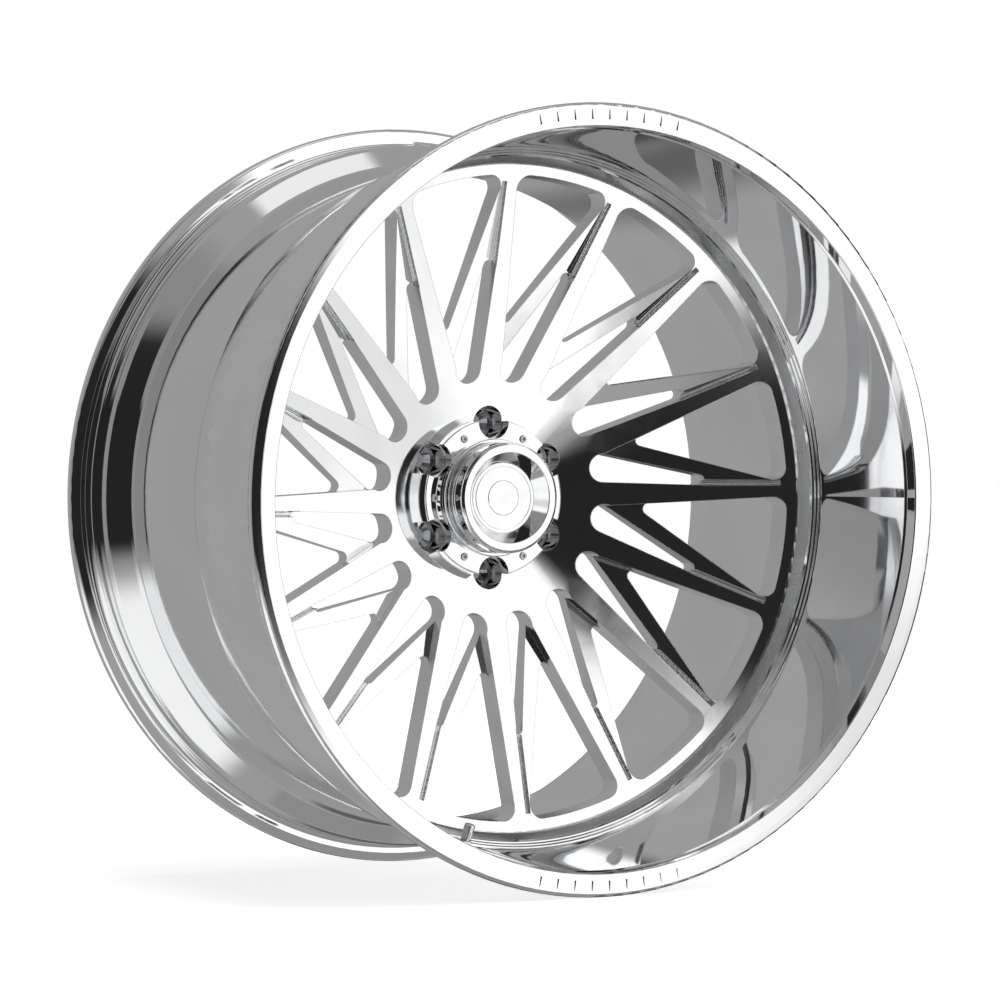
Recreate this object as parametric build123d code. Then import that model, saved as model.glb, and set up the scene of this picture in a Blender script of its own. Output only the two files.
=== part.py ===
from build123d import *
import math
import os

# Forged truck wheel rim, 26 x 14 J, six studs on a 139.7 mm circle, offset -76 mm.
# Millimetres. The wheel axis is Y, the front (street) side looks along -Y, +Z is up.
# The origin is on the axis at the rim's mid-plane, halfway between the two bead seats.
# Outlines of turned pieces are lists of (radius, y, corner radius), read round the section.

# ---- rim size ----------------------------------------------------------------------
RIM_WIDTH = 355.6            # between the flanges, 14 in
BEAD_RADIUS = 332.6          # bead seat at the flange, 26 in nominal
FLANGE_HEIGHT = 17.5         # J flange above the bead seat
FLANGE_THICKNESS = 15.2
FLANGE_EDGE_ROUND = 4.0
BEAD_SEAT_WIDTH = 21.8
BEAD_SEAT_FALL = 1.9         # 5 degree seat, measured over its width
HUMP_RISE = 2.1
HUMP_WIDTH = 11.0
LIP_FACE_WIDTH = 21.1
LIP_CROWN = 2.4
LIP_STEP = 1.4
BEAD_WALL = 5.4              # barrel wall under the bead seats
WELL_RADIUS = 312.0
WELL_WALL = 7.0
WELL_REAR_Y = 129.0
REAR_LIP_FACE_WIDTH = 19.0

# ---- forged centre -----------------------------------------------------------------
UNIT_COUNT = 16
UNIT_ANGLE = 360 / UNIT_COUNT
FACE_SLOPE = 0.2485          # the face is a hollow cone, rise per mm of radius
FACE_INNER_RADIUS = 73.0
FACE_INNER_Y = 24.3
FACE_OUTER_RADIUS = 306.0
SPOKE_DEPTH = 25.0
DISC_RADIUS = 313.0
DISC_FRONT_Y = -46.0
DISC_SHOULDER_Y = -14.0
SPIGOT_LENGTH = 8.0
SPIGOT_CLEARANCE = 0.3
REAR_WELD_LEG = 7.0
PAD_LAND = 11.25              # pad left outside the stud holes
PAD_Y = 76.0                 # hub mounting face, offset -76
HUB_BORE_RADIUS = 53.1
HUB_BORE_DEPTH = 24.0
CAP_BORE_RADIUS = 42.0

# ---- one spoke unit, on the face: u along the main spoke, v anticlockwise ------------
SLOT_INNER_AT = (118.2, 27.15)
SLOT_INNER_RADIUS = 13.3
SLOT_OUTER_AT = (213.0, 15.7)
SLOT_OUTER_RADIUS = 4.9
SPOKE_EDGE_INNER = (118.0, -8.5)
SPOKE_EDGE_OUTER = (285.0, -0.9)
BLADE_EDGE_INNER = (160.2, 47.2)
BLADE_EDGE_OUTER = (279.3, 16.4)
WINDOW_OUTER_RADIUS = 295.4
WINDOW_TIP_ROUND = 5.5
WINDOW_LOW_ROUND = 11.0
WINDOW_HIGH_ROUND = 13.0
BLADE_SLOPE = 0.3204         # the blade's top is a steeper cone than the face
BLADE_DROP = 1.5             # below the face at the blade's outer end
BLADE_OUTER_RADIUS = 283.0
GROOVE_RADIUS = 2.45
GROOVE_DEPTH = 11.0
GROOVE_START = (214.0, 12.8)
GROOVE_END = (291.0, 12.4)

# ---- wheel studs -------------------------------------------------------------------
STUD_COUNT = 6
STUD_CIRCLE = 139.7
STUD_FIRST_ANGLE = 30.0
STUD_HOLE_RADIUS = 7.9
POCKET_RADIUS = 14.9
POCKET_FLOOR_Y = 48.0
SEAT_RADIUS = 13.2

# ---- bolt-on centre cap ------------------------------------------------------------
CAP_COLLAR_RADIUS = 72.4
CAP_COLLAR_TOP_Y = 12.6
CAP_SPIGOT_GAP = 0.08
CAP_SPIGOT_LENGTH = 20.0
CAP_NECK_RADIUS = 45.4
CAP_RIDGE_RADIUS = 54.4
CAP_POCKET_GAP = 0.9
CAP_HEAD_RADIUS = 51.1
CAP_HEAD_TOP_Y = -17.7
CAP_HEAD_DEPTH = 13.0
CAP_DISH_RADIUS = 41.8
CAP_DISC_RADIUS = 32.4
CAP_DISC_Y = -5.1
CAP_DISC_THICKNESS = 2.5
CAP_PAD_THICKNESS = 0.8
CAP_WALL = 3.2
O_RING_RADIUS = 1.5
O_RING_STAND_OUT = 0.04      # past the spigot, inside the bore
O_RING_GAP = 0.02
SCREW_COUNT = 6
SCREW_CIRCLE_RADIUS = 62.4
SCREW_RADIUS = 2.0
SCREW_HEAD_RADIUS = 3.5
SCREW_HEAD_HEIGHT = 4.0
SCREW_HEAD_PROUD = 1.4
SCREW_SOCKET = 3.0
SCREW_THREAD_LENGTH = 8.0
SCREW_GAP = 0.05

# ---- clamp-in tyre valve -----------------------------------------------------------
VALVE_ANGLE = 256.0
VALVE_TILT = 12.0            # towards the front, from straight inwards
VALVE_Y = -68.0
VALVE_HOLE_RADIUS = 5.75
VALVE_SPOT_RADIUS = 9.5
VALVE_GRIP = 5.4             # wall left between the two spot faces
STEM_RADIUS = 4.4
STEM_HEAD_RADIUS = 8.0
STEM_HEAD_HEIGHT = 3.0
STEM_TIP_RADIUS = 3.85
STEM_LENGTH = 18.0           # above the wall
STEM_TIP_LENGTH = 10.5
STEM_BORE_RADIUS = 1.8
CORE_BORE_RADIUS = 2.7
CORE_BORE_DEPTH = 13.5
GROMMET_HEIGHT = 2.5
GROMMET_RADIUS = 8.6
WASHER_RADIUS = 8.2
WASHER_THICKNESS = 1.2
NUT_ACROSS_FLATS = 14.0
NUT_HEIGHT = 5.0
THREAD_GAP = 0.06
VALVE_CAP_RADIUS = 5.0
VALVE_CAP_TOP = 2.6
VALVE_CAP_FLUTES = 12
PIN_RADIUS = 0.6
PIN_TRAVEL = 1.5
PIN_SEAL_RADIUS = 1.45
SPRING_WIRE_RADIUS = 0.22
SPRING_RADIUS = 1.85
SPRING_PITCH = 0.95

# ---- worked out --------------------------------------------------------------------
FLANGE_RADIUS = BEAD_RADIUS + FLANGE_HEIGHT
HALF_WIDTH = RIM_WIDTH / 2
RIM_FRONT_Y = -HALF_WIDTH - FLANGE_THICKNESS
LIP_INNER_RADIUS = FLANGE_RADIUS - LIP_FACE_WIDTH
WALL_BORE_RADIUS = BEAD_RADIUS - BEAD_WALL
WELL_BORE_RADIUS = WELL_RADIUS - WELL_WALL
WELD_WALL_RADIUS = DISC_RADIUS + 5.0
WELD_TOP_Y = DISC_FRONT_Y - 9.0
SPIGOT_Y = DISC_SHOULDER_Y + SPIGOT_LENGTH
SPIGOT_RADIUS = WELL_BORE_RADIUS - SPIGOT_CLEARANCE
STUD_RADIUS = STUD_CIRCLE / 2
PAD_RADIUS = STUD_RADIUS + STUD_HOLE_RADIUS + PAD_LAND
VALVE_WALL_RADIUS = WELD_WALL_RADIUS + (WALL_BORE_RADIUS - WELD_WALL_RADIUS) * (
    (VALVE_Y - WELD_TOP_Y) / (-HALF_WIDTH - WELD_TOP_Y)
)


def face_y(radius):
    """Height of the hollow face cone at a radius."""
    return FACE_INNER_Y - FACE_SLOPE * (radius - FACE_INNER_RADIUS)


def blade_y(radius):
    """Height of the blade tops, a steeper cone that meets the face at the rim."""
    return face_y(BLADE_OUTER_RADIUS) + BLADE_DROP + BLADE_SLOPE * (BLADE_OUTER_RADIUS - radius)


def turned(outline):
    """Solid turned about the wheel axis from a closed (radius, y, corner radius) outline."""
    points = [(radius, y) for radius, y, _ in outline]
    wire = FilletPolyline(*points, radius=[corner for _, _, corner in outline], close=True)
    return revolve(make_face(wire.edges()), Axis.Y)


def rod(radius, start_y, end_y):
    """Cylinder along the wheel axis between two heights."""
    return Pos(0, (start_y + end_y) / 2, 0) * Rot(X=90) * Cylinder(radius, abs(end_y - start_y))


def around(solid, count, first_angle=0.0):
    """Copies of a solid, evenly spaced anticlockwise round the axis as seen from the front."""
    return [Rot(Y=-(first_angle + 360 / count * k)) * solid for k in range(count)]


def rotated(point, angle):
    """A face point turned anticlockwise about the wheel axis."""
    c = math.cos(math.radians(angle))
    s = math.sin(math.radians(angle))
    return (point[0] * c - point[1] * s, point[0] * s + point[1] * c)


def through(sketch, start_y, end_y):
    """Straight prism along Y from a sketch drawn on the face."""
    return Pos(0, end_y, 0) * extrude(Plane.XZ * sketch, amount=end_y - start_y)


# ---- barrel ------------------------------------------------------------------------
def bead_side(sign):
    """Flange back, bead seat and hump of one side, from the flange edge to the well."""
    edge = sign * HALF_WIDTH
    seat_end = sign * (HALF_WIDTH - BEAD_SEAT_WIDTH)
    low_seat = BEAD_RADIUS - BEAD_SEAT_FALL
    hump_end = seat_end - sign * HUMP_WIDTH
    return [
        (FLANGE_RADIUS, edge + sign * (FLANGE_THICKNESS - 2.5), FLANGE_EDGE_ROUND),
        (FLANGE_RADIUS, edge + sign * 2.7, FLANGE_EDGE_ROUND),
        (FLANGE_RADIUS - FLANGE_HEIGHT / 2, edge, 3.0),
        (BEAD_RADIUS, edge, 6.5),
        (low_seat, seat_end, 4.0),
        (low_seat + HUMP_RISE, (seat_end + hump_end) / 2, 3.0),
        (low_seat, hump_end, 4.0),
    ]


def make_barrel():
    """Rolled outer barrel with both flanges, and the seat for the centre."""
    front_edge = -HALF_WIDTH
    well_front_y = DISC_SHOULDER_Y + 12.0
    hump_end_y = HALF_WIDTH - BEAD_SEAT_WIDTH - HUMP_WIDTH
    rear_bore = BEAD_RADIUS - BEAD_SEAT_FALL - BEAD_WALL - 1.2
    front = [
        (LIP_INNER_RADIUS, front_edge - 2.2, 1.0),
        (LIP_INNER_RADIUS, RIM_FRONT_Y, 1.2),
        (FLANGE_RADIUS - 8.0, RIM_FRONT_Y + LIP_CROWN / 2, 12.0),
    ]
    middle = [
        (DISC_RADIUS + 12.0, WELD_TOP_Y - 4.0, 10.0),
        (DISC_RADIUS + 5.8, DISC_SHOULDER_Y - 1.0, 4.0),
        (WELL_RADIUS, well_front_y, 6.0),
        (WELL_RADIUS, WELL_REAR_Y, 8.0),
    ]
    rear = [
        (FLANGE_RADIUS - REAR_LIP_FACE_WIDTH / 2, -RIM_FRONT_Y, 6.0),
        (FLANGE_RADIUS - REAR_LIP_FACE_WIDTH, -RIM_FRONT_Y, 3.0),
        (rear_bore, HALF_WIDTH + 6.0, 8.0),
        (rear_bore, hump_end_y + 3.5, 8.0),
        (WELL_BORE_RADIUS, WELL_REAR_Y - 2.0, 8.0),
        (WELL_BORE_RADIUS, DISC_SHOULDER_Y, 0.0),
        (DISC_RADIUS, DISC_SHOULDER_Y, 0.0),
        (DISC_RADIUS, DISC_FRONT_Y, 0.0),
        (WELD_WALL_RADIUS, DISC_FRONT_Y - 7.0, 0.0),
        (WELD_WALL_RADIUS, WELD_TOP_Y, 0.0),
        (WALL_BORE_RADIUS, front_edge, 1.0),
        (WALL_BORE_RADIUS + LIP_STEP, front_edge - 1.6, 0.6),
    ]
    barrel = turned(front + bead_side(-1) + middle + bead_side(1)[::-1] + rear)
    spot = Pos(0, 0, 10) * Cylinder(VALVE_SPOT_RADIUS, 20)
    back_spot = Pos(0, 0, -VALVE_GRIP - 10) * Cylinder(VALVE_SPOT_RADIUS, 20)
    hole = Cylinder(VALVE_HOLE_RADIUS, 60)
    barrel -= [VALVE_SEAT * cut for cut in (spot, back_spot, hole)]
    return barrel - lip_slots()


def lip_slots():
    """Two plain rows of short milled slots on the lip face, at the top and the bottom."""
    slot_length = 9.0
    slot_width = 2.2
    slot_depth = 0.8
    row = 9
    spacing = 3.0
    mid_radius = FLANGE_RADIUS - LIP_FACE_WIDTH / 2
    one = Pos(mid_radius, RIM_FRONT_Y, 0) * Box(slot_length, 2 * slot_depth + LIP_CROWN, slot_width)
    cuts = []
    for row_angle in (90, 270):
        for k in range(row):
            cuts.append(Rot(Y=-(row_angle + (k - (row - 1) / 2) * spacing)) * one)
    return cuts


def make_front_weld():
    """Stepped bead that closes the joint between the centre and the barrel, machined smooth."""
    return turned([
        (DISC_RADIUS - 1.7, DISC_FRONT_Y, 0.0),
        (DISC_RADIUS, DISC_FRONT_Y, 0.0),
        (WELD_WALL_RADIUS, DISC_FRONT_Y - 7.0, 0.0),
        (WELD_WALL_RADIUS, WELD_TOP_Y, 0.0),
        (WELD_WALL_RADIUS - 1.3, WELD_TOP_Y + 0.6, 0.5),
        (WELD_WALL_RADIUS - 1.8, WELD_TOP_Y + 2.8, 0.7),
        (WELD_WALL_RADIUS - 3.4, WELD_TOP_Y + 3.6, 0.5),
        (WELD_WALL_RADIUS - 3.9, WELD_TOP_Y + 5.8, 0.7),
        (WELD_WALL_RADIUS - 5.5, WELD_TOP_Y + 6.6, 0.5),
    ])


def make_rear_weld():
    """Flat fillet weld behind the centre, inside the well."""
    return turned([
        (WELL_BORE_RADIUS, SPIGOT_Y, 0.0),
        (WELL_BORE_RADIUS - REAR_WELD_LEG, SPIGOT_Y, 0.0),
        (WELL_BORE_RADIUS, SPIGOT_Y + REAR_WELD_LEG, 0.0),
    ])


# ---- forged centre -----------------------------------------------------------------
def slot_sketch():
    """Inner slot: a wide round end by the hub and a narrow one between spoke and blade."""
    ends = Pos(*SLOT_INNER_AT) * Circle(SLOT_INNER_RADIUS) + Pos(*SLOT_OUTER_AT) * Circle(SLOT_OUTER_RADIUS)
    return make_hull(ends.edges())


def line_point(start, end, length):
    """Point on the line from start through end, a length past the start."""
    run = math.dist(start, end)
    return tuple(a + (b - a) / run * length for a, b in zip(start, end))


def line_crossing(first, second):
    """Where two lines cross, each given by two points."""
    (x1, y1), (x2, y2) = first
    (x3, y3), (x4, y4) = second
    base = (x1 - x2) * (y3 - y4) - (y1 - y2) * (x3 - x4)
    a = x1 * y2 - y1 * x2
    b = x3 * y4 - y3 * x4
    return ((a * (x3 - x4) - (x1 - x2) * b) / base, (a * (y3 - y4) - (y1 - y2) * b) / base)


def next_spoke_edge():
    """Lower edge of the next main spoke, which bounds the window and the blade."""
    return rotated(SPOKE_EDGE_INNER, UNIT_ANGLE), rotated(SPOKE_EDGE_OUTER, UNIT_ANGLE)


def window_sketch():
    """Outer window between the blade and the next main spoke."""
    blade_edge = (BLADE_EDGE_INNER, BLADE_EDGE_OUTER)
    spoke_edge = next_spoke_edge()
    tip = line_crossing(blade_edge, spoke_edge)
    reach = FLANGE_RADIUS
    low = line_point(tip, BLADE_EDGE_OUTER, reach)
    high = line_point(tip, spoke_edge[1], reach)
    window = make_face(Polyline(tip, low, high, close=True)) & Circle(WINDOW_OUTER_RADIUS)
    rounds = ((0, WINDOW_LOW_ROUND), (-1, WINDOW_HIGH_ROUND))
    for place, size in rounds:
        corners = window.vertices().filter_by(lambda v: math.hypot(v.X, v.Y) > WINDOW_OUTER_RADIUS - 0.1)
        corner = corners.sort_by(lambda v: math.atan2(v.Y, v.X))[place]
        window = fillet(corner, size)
    inner = window.vertices().sort_by(lambda v: math.hypot(v.X, v.Y))[0]
    return fillet(inner, WINDOW_TIP_ROUND)


def blade_pocket():
    """Metal milled off above the blade, down to its own steeper cone."""
    spoke_inner, spoke_outer = next_spoke_edge()
    plan = make_face(Polyline(
        spoke_inner,
        SLOT_INNER_AT,
        SLOT_OUTER_AT,
        line_point(BLADE_EDGE_INNER, BLADE_EDGE_OUTER, math.dist(BLADE_EDGE_INNER, BLADE_EDGE_OUTER) + 5.0),
        line_point(spoke_inner, spoke_outer, math.dist(spoke_inner, spoke_outer) - 2.0),
        close=True,
    ))
    inner = FACE_INNER_RADIUS
    outer = WINDOW_OUTER_RADIUS - 1.0
    above = turned([
        (inner, blade_y(inner), 0.0),
        (outer, blade_y(outer), 0.0),
        (outer, DISC_FRONT_Y - 10, 0.0),
        (inner, DISC_FRONT_Y - 10, 0.0),
    ])
    return above & through(plan, DISC_FRONT_Y - 20, PAD_Y)


def groove_cutter():
    """Round-bottomed groove along the main spoke's flank, from the slot to the window."""
    ends = []
    for u, v in (GROOVE_START, GROOVE_END):
        ends.append(Vector(u, face_y(math.hypot(u, v)) + GROOVE_DEPTH - GROOVE_RADIUS, v))
    run = ends[1] - ends[0]
    plane = Plane(origin=ends[0], x_dir=(0, 0, 1), z_dir=run)
    height = 2 * GROOVE_DEPTH
    up = plane.y_dir.Y
    side = -1 if up > 0 else 1
    section = Circle(GROOVE_RADIUS) + Pos(0, side * height / 2) * Rectangle(2 * GROOVE_RADIUS, height)
    return extrude(plane * section, amount=run.length)


def make_centre():
    """Forged centre: hub pad, sixteen main spokes with a lower blade beside each, outer ring."""
    rear_inner_radius = PAD_RADIUS + 23.0
    rear_ring_radius = FACE_INNER_RADIUS + (FACE_INNER_Y + SPOKE_DEPTH - SPIGOT_Y) / FACE_SLOPE
    centre = turned([
        (CAP_BORE_RADIUS, FACE_INNER_Y, 0.0),
        (FACE_INNER_RADIUS, FACE_INNER_Y, 0.0),
        (FACE_OUTER_RADIUS, face_y(FACE_OUTER_RADIUS), 3.0),
        (DISC_RADIUS - 1.7, DISC_FRONT_Y, 0.0),
        (DISC_RADIUS, DISC_FRONT_Y, 0.0),
        (DISC_RADIUS, DISC_SHOULDER_Y, 0.0),
        (SPIGOT_RADIUS, DISC_SHOULDER_Y, 0.0),
        (SPIGOT_RADIUS, SPIGOT_Y, 0.0),
        (rear_ring_radius, SPIGOT_Y, 2.0),
        (rear_inner_radius, face_y(rear_inner_radius) + SPOKE_DEPTH, 14.0),
        (PAD_RADIUS + 5.0, PAD_Y - 20.0, 8.0),
        (PAD_RADIUS, PAD_Y, 1.5),
        (HUB_BORE_RADIUS, PAD_Y, 0.8),
        (HUB_BORE_RADIUS, PAD_Y - HUB_BORE_DEPTH, 0.0),
        (CAP_BORE_RADIUS, PAD_Y - HUB_BORE_DEPTH, 0.0),
    ])
    slot = through(slot_sketch(), DISC_FRONT_Y - 20, PAD_Y)
    window = through(window_sketch(), DISC_FRONT_Y - 20, PAD_Y)
    for cut in (window, slot, blade_pocket(), groove_cutter()):
        centre -= around(cut, UNIT_COUNT)
    for cut in stud_cutters():
        centre -= around(cut, STUD_COUNT, STUD_FIRST_ANGLE)
    tapped_end_y = FACE_INNER_Y + SCREW_THREAD_LENGTH + 2.0
    tapped = Pos(SCREW_CIRCLE_RADIUS, 0, 0) * rod(SCREW_RADIUS + SCREW_GAP, FACE_INNER_Y - 1, tapped_end_y)
    return centre - around(tapped, SCREW_COUNT)


def stud_cutters():
    """Stud hole, conical nut seat and the pocket in front of it, for one stud."""
    cone_depth = SEAT_RADIUS - STUD_HOLE_RADIUS
    at = Pos(STUD_RADIUS, 0, 0)
    hole = at * rod(STUD_HOLE_RADIUS, FACE_INNER_Y - 20, PAD_Y + 1)
    pocket = at * rod(POCKET_RADIUS, DISC_FRONT_Y, POCKET_FLOOR_Y)
    seat = Pos(STUD_RADIUS, POCKET_FLOOR_Y + cone_depth / 2, 0) * Rot(X=-90) * Cone(
        SEAT_RADIUS, STUD_HOLE_RADIUS, cone_depth
    )
    return hole, pocket, seat


# ---- centre cap --------------------------------------------------------------------
def make_cap_base():
    """Scalloped collar with a spigot in the centre bore, and the ridged neck."""
    groove_y = FACE_INNER_Y + CAP_SPIGOT_LENGTH / 2
    groove = O_RING_RADIUS * 1.1
    spigot = CAP_BORE_RADIUS - CAP_SPIGOT_GAP
    groove_floor = spigot - 2 * O_RING_RADIUS - O_RING_GAP
    neck_top_y = CAP_HEAD_TOP_Y + CAP_HEAD_DEPTH
    ridge_top_y = CAP_COLLAR_TOP_Y - 5.0
    base = turned([
        (CAP_COLLAR_RADIUS, FACE_INNER_Y, 0.6),
        (CAP_COLLAR_RADIUS, CAP_COLLAR_TOP_Y, 1.5),
        (CAP_RIDGE_RADIUS, CAP_COLLAR_TOP_Y, 0.0),
        (CAP_RIDGE_RADIUS, ridge_top_y, 1.4),
        (CAP_RIDGE_RADIUS - 3.6, ridge_top_y, 0.8),
        (CAP_RIDGE_RADIUS - 4.4, ridge_top_y + 2.6, 0.8),
        (CAP_NECK_RADIUS + 2.6, ridge_top_y + 2.6, 0.6),
        (CAP_NECK_RADIUS + 1.8, ridge_top_y - 1.6, 0.8),
        (CAP_NECK_RADIUS, ridge_top_y - 1.6, 0.6),
        (CAP_NECK_RADIUS, neck_top_y, 0.0),
        (CAP_NECK_RADIUS - CAP_WALL - 4.0, neck_top_y, 0.0),
        (CAP_NECK_RADIUS - CAP_WALL - 4.0, CAP_COLLAR_TOP_Y, 3.0),
        (spigot - CAP_WALL - 4.0, FACE_INNER_Y + CAP_SPIGOT_LENGTH, 0.0),
        (spigot, FACE_INNER_Y + CAP_SPIGOT_LENGTH, 0.8),
        (spigot, groove_y + groove, 0.0),
        (groove_floor, groove_y + groove, 0.0),
        (groove_floor, groove_y - groove, 0.0),
        (spigot, groove_y - groove, 0.0),
        (spigot, FACE_INNER_Y, 0.0),
    ])
    scallop = Pos(STUD_RADIUS, 0, 0) * rod(POCKET_RADIUS + CAP_POCKET_GAP, -20, FACE_INNER_Y + 1)
    base -= around(scallop, STUD_COUNT, STUD_FIRST_ANGLE)
    at = Pos(SCREW_CIRCLE_RADIUS, 0, 0)
    hole = at * rod(SCREW_RADIUS + SCREW_GAP, 0, FACE_INNER_Y + 1)
    head_floor_y = CAP_COLLAR_TOP_Y + SCREW_HEAD_HEIGHT - SCREW_HEAD_PROUD
    counterbore = at * rod(SCREW_HEAD_RADIUS + 0.2, 0, head_floor_y)
    base -= around(hole, SCREW_COUNT)
    return base - around(counterbore, SCREW_COUNT)


def make_cap_head():
    """Mushroom head: rounded bezel, conical dish wall and the floor that holds the disc."""
    neck_top_y = CAP_HEAD_TOP_Y + CAP_HEAD_DEPTH
    floor_y = CAP_DISC_Y + CAP_DISC_THICKNESS + CAP_PAD_THICKNESS
    skirt_y = neck_top_y + 3.0
    return turned([
        (CAP_NECK_RADIUS + 0.05, skirt_y, 0.3),
        (CAP_HEAD_RADIUS - 2.5, skirt_y, 1.0),
        (CAP_HEAD_RADIUS, skirt_y - 4.0, 3.0),
        (CAP_HEAD_RADIUS, CAP_HEAD_TOP_Y + 2.0, 2.0),
        (CAP_HEAD_RADIUS - 3.0, CAP_HEAD_TOP_Y, 2.5),
        (CAP_DISH_RADIUS, CAP_HEAD_TOP_Y, 1.2),
        (CAP_DISC_RADIUS + 0.1, CAP_DISC_Y, 0.0),
        (CAP_DISC_RADIUS + 0.1, floor_y, 0.0),
        (0.0, floor_y, 0.0),
        (0.0, floor_y + CAP_WALL, 0.0),
        (CAP_NECK_RADIUS - CAP_WALL - 4.1, floor_y + CAP_WALL, 0.0),
        (CAP_NECK_RADIUS - CAP_WALL - 4.1, neck_top_y, 0.0),
        (CAP_NECK_RADIUS + 0.05, neck_top_y, 0.0),
    ])


def make_cap_disc():
    """Flat disc in the dish, plain but for a shallow centre and two fine rings."""
    ring_depth = 0.5
    rise = 0.4
    return turned([
        (0.0, CAP_DISC_Y + CAP_DISC_THICKNESS, 0.0),
        (CAP_DISC_RADIUS, CAP_DISC_Y + CAP_DISC_THICKNESS, 0.0),
        (CAP_DISC_RADIUS, CAP_DISC_Y, 0.4),
        (CAP_DISC_RADIUS - 3.0, CAP_DISC_Y, 0.0),
        (CAP_DISC_RADIUS - 3.4, CAP_DISC_Y + ring_depth, 0.0),
        (CAP_DISC_RADIUS - 3.8, CAP_DISC_Y, 0.0),
        (CAP_DISC_RADIUS / 2, CAP_DISC_Y, 0.0),
        (CAP_DISC_RADIUS / 2 - 0.6, CAP_DISC_Y - rise, 0.0),
        (0.0, CAP_DISC_Y - rise, 0.0),
    ])


def make_cap_pad():
    """Thin adhesive pad under the disc."""
    back_y = CAP_DISC_Y + CAP_DISC_THICKNESS
    return rod(CAP_DISC_RADIUS - 2.0, back_y, back_y + CAP_PAD_THICKNESS)


def make_o_ring():
    """Rubber ring in the spigot's groove, just clear of the centre bore."""
    spigot = CAP_BORE_RADIUS - CAP_SPIGOT_GAP
    centre_radius = spigot - O_RING_RADIUS + O_RING_STAND_OUT
    return Pos(0, FACE_INNER_Y + CAP_SPIGOT_LENGTH / 2, 0) * Rot(X=90) * Torus(centre_radius, O_RING_RADIUS)


def make_cap_screws():
    """Six socket-head screws through the collar."""
    head_top_y = CAP_COLLAR_TOP_Y - SCREW_HEAD_PROUD
    head_floor_y = head_top_y + SCREW_HEAD_HEIGHT
    head = fillet(rod(SCREW_HEAD_RADIUS, head_top_y, head_floor_y).edges().sort_by(Axis.Y)[0], 0.5)
    shank = rod(SCREW_RADIUS, head_floor_y, FACE_INNER_Y + SCREW_THREAD_LENGTH)
    socket_plan = RegularPolygon(SCREW_SOCKET / 2, 6, major_radius=False)
    socket = through(socket_plan, head_top_y - 1, head_top_y + SCREW_SOCKET * 0.7)
    screw = Pos(SCREW_CIRCLE_RADIUS, 0, 0) * (head + shank - socket)
    return Compound(around(screw, SCREW_COUNT))


# ---- valve, built upright on its own seat -------------------------------------------
def valve_seat():
    """Place on the wall where the valve stands: +Z of the seat is the stem's way out."""
    angle = math.radians(VALVE_ANGLE)
    tilt = math.radians(VALVE_TILT)
    out = Vector(math.cos(angle), 0, math.sin(angle))
    depth = VALVE_SPOT_RADIUS * math.sin(tilt) + 0.5
    origin = out * VALVE_WALL_RADIUS + Vector(0, VALVE_Y, 0)
    way = out * -math.cos(tilt) + Vector(0, -math.sin(tilt), 0)
    across = Vector(-math.sin(angle), 0, math.cos(angle))
    return Plane(origin=origin - way * depth, x_dir=across, z_dir=way).location


def tube(outer, inner, low, high):
    """Upright tube, or a plain rod where the inner radius is zero."""
    body = Pos(0, 0, (low + high) / 2) * Cylinder(outer, high - low)
    if inner:
        body -= Pos(0, 0, (low + high) / 2) * Cylinder(inner, high - low + 2)
    return body


def make_valve_stem():
    """Brass stem: head in the tyre space, threaded shank through the wall, narrow tip."""
    head_low = -VALVE_GRIP - GROMMET_HEIGHT - STEM_HEAD_HEIGHT
    shank_low = -VALVE_GRIP - GROMMET_HEIGHT
    tip_low = STEM_LENGTH - STEM_TIP_LENGTH
    stem = tube(STEM_HEAD_RADIUS, 0, head_low, shank_low)
    stem += tube(STEM_RADIUS, 0, shank_low, tip_low)
    stem += tube(STEM_TIP_RADIUS, 0, tip_low, STEM_LENGTH)
    stem = chamfer(stem.edges().sort_by(Axis.Z)[-1], 0.5)
    stem -= tube(STEM_BORE_RADIUS, 0, head_low - 1, STEM_LENGTH)
    return stem - tube(CORE_BORE_RADIUS, 0, STEM_LENGTH - CORE_BORE_DEPTH, STEM_LENGTH + 1)


def make_valve_grommet():
    """Rubber grommet squeezed under the head, with a sleeve in the hole."""
    sleeve = tube(VALVE_HOLE_RADIUS - 0.05, STEM_RADIUS + 0.05, -VALVE_GRIP, -1.0)
    return tube(GROMMET_RADIUS, STEM_RADIUS + 0.05, -VALVE_GRIP - GROMMET_HEIGHT, -VALVE_GRIP) + sleeve


def make_valve_washer():
    """Flat washer under the nut."""
    return tube(WASHER_RADIUS, STEM_RADIUS + THREAD_GAP, 0, WASHER_THICKNESS)


def make_valve_nut():
    """Hexagon nut that pulls the stem tight, with its corners turned off."""
    hexagon = extrude(RegularPolygon(NUT_ACROSS_FLATS / 2, 6, major_radius=False), NUT_HEIGHT)
    corner = NUT_ACROSS_FLATS / math.sqrt(3)
    crown = Pos(0, 0, NUT_HEIGHT / 2) * Cylinder(corner, NUT_HEIGHT)
    crown = chamfer(crown.edges().sort_by(Axis.Z)[-1], 1.0)
    nut = Pos(0, 0, WASHER_THICKNESS) * (hexagon & crown)
    return nut - tube(STEM_RADIUS + THREAD_GAP, 0, 0, WASHER_THICKNESS + NUT_HEIGHT + 1)


def core_levels():
    """Heights of the core's parts: body top, body foot and gasket foot."""
    body_top = STEM_LENGTH - 1.0
    body_foot = body_top - 6.5
    return body_top, body_foot, body_foot - 1.2


def make_core_body():
    """Screw-in core body."""
    body_top, body_foot, _ = core_levels()
    body = tube(CORE_BORE_RADIUS - 0.05, PIN_RADIUS + 0.06, body_foot, body_top)
    slot = Pos(0, 0, body_top) * Box(2 * CORE_BORE_RADIUS, 0.9, 1.6)
    return body - slot


def make_core_gasket():
    """Plastic seal ring under the core body."""
    _, body_foot, gasket_foot = core_levels()
    return tube(CORE_BORE_RADIUS - 0.02, PIN_RADIUS + 0.3, gasket_foot, body_foot)


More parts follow.
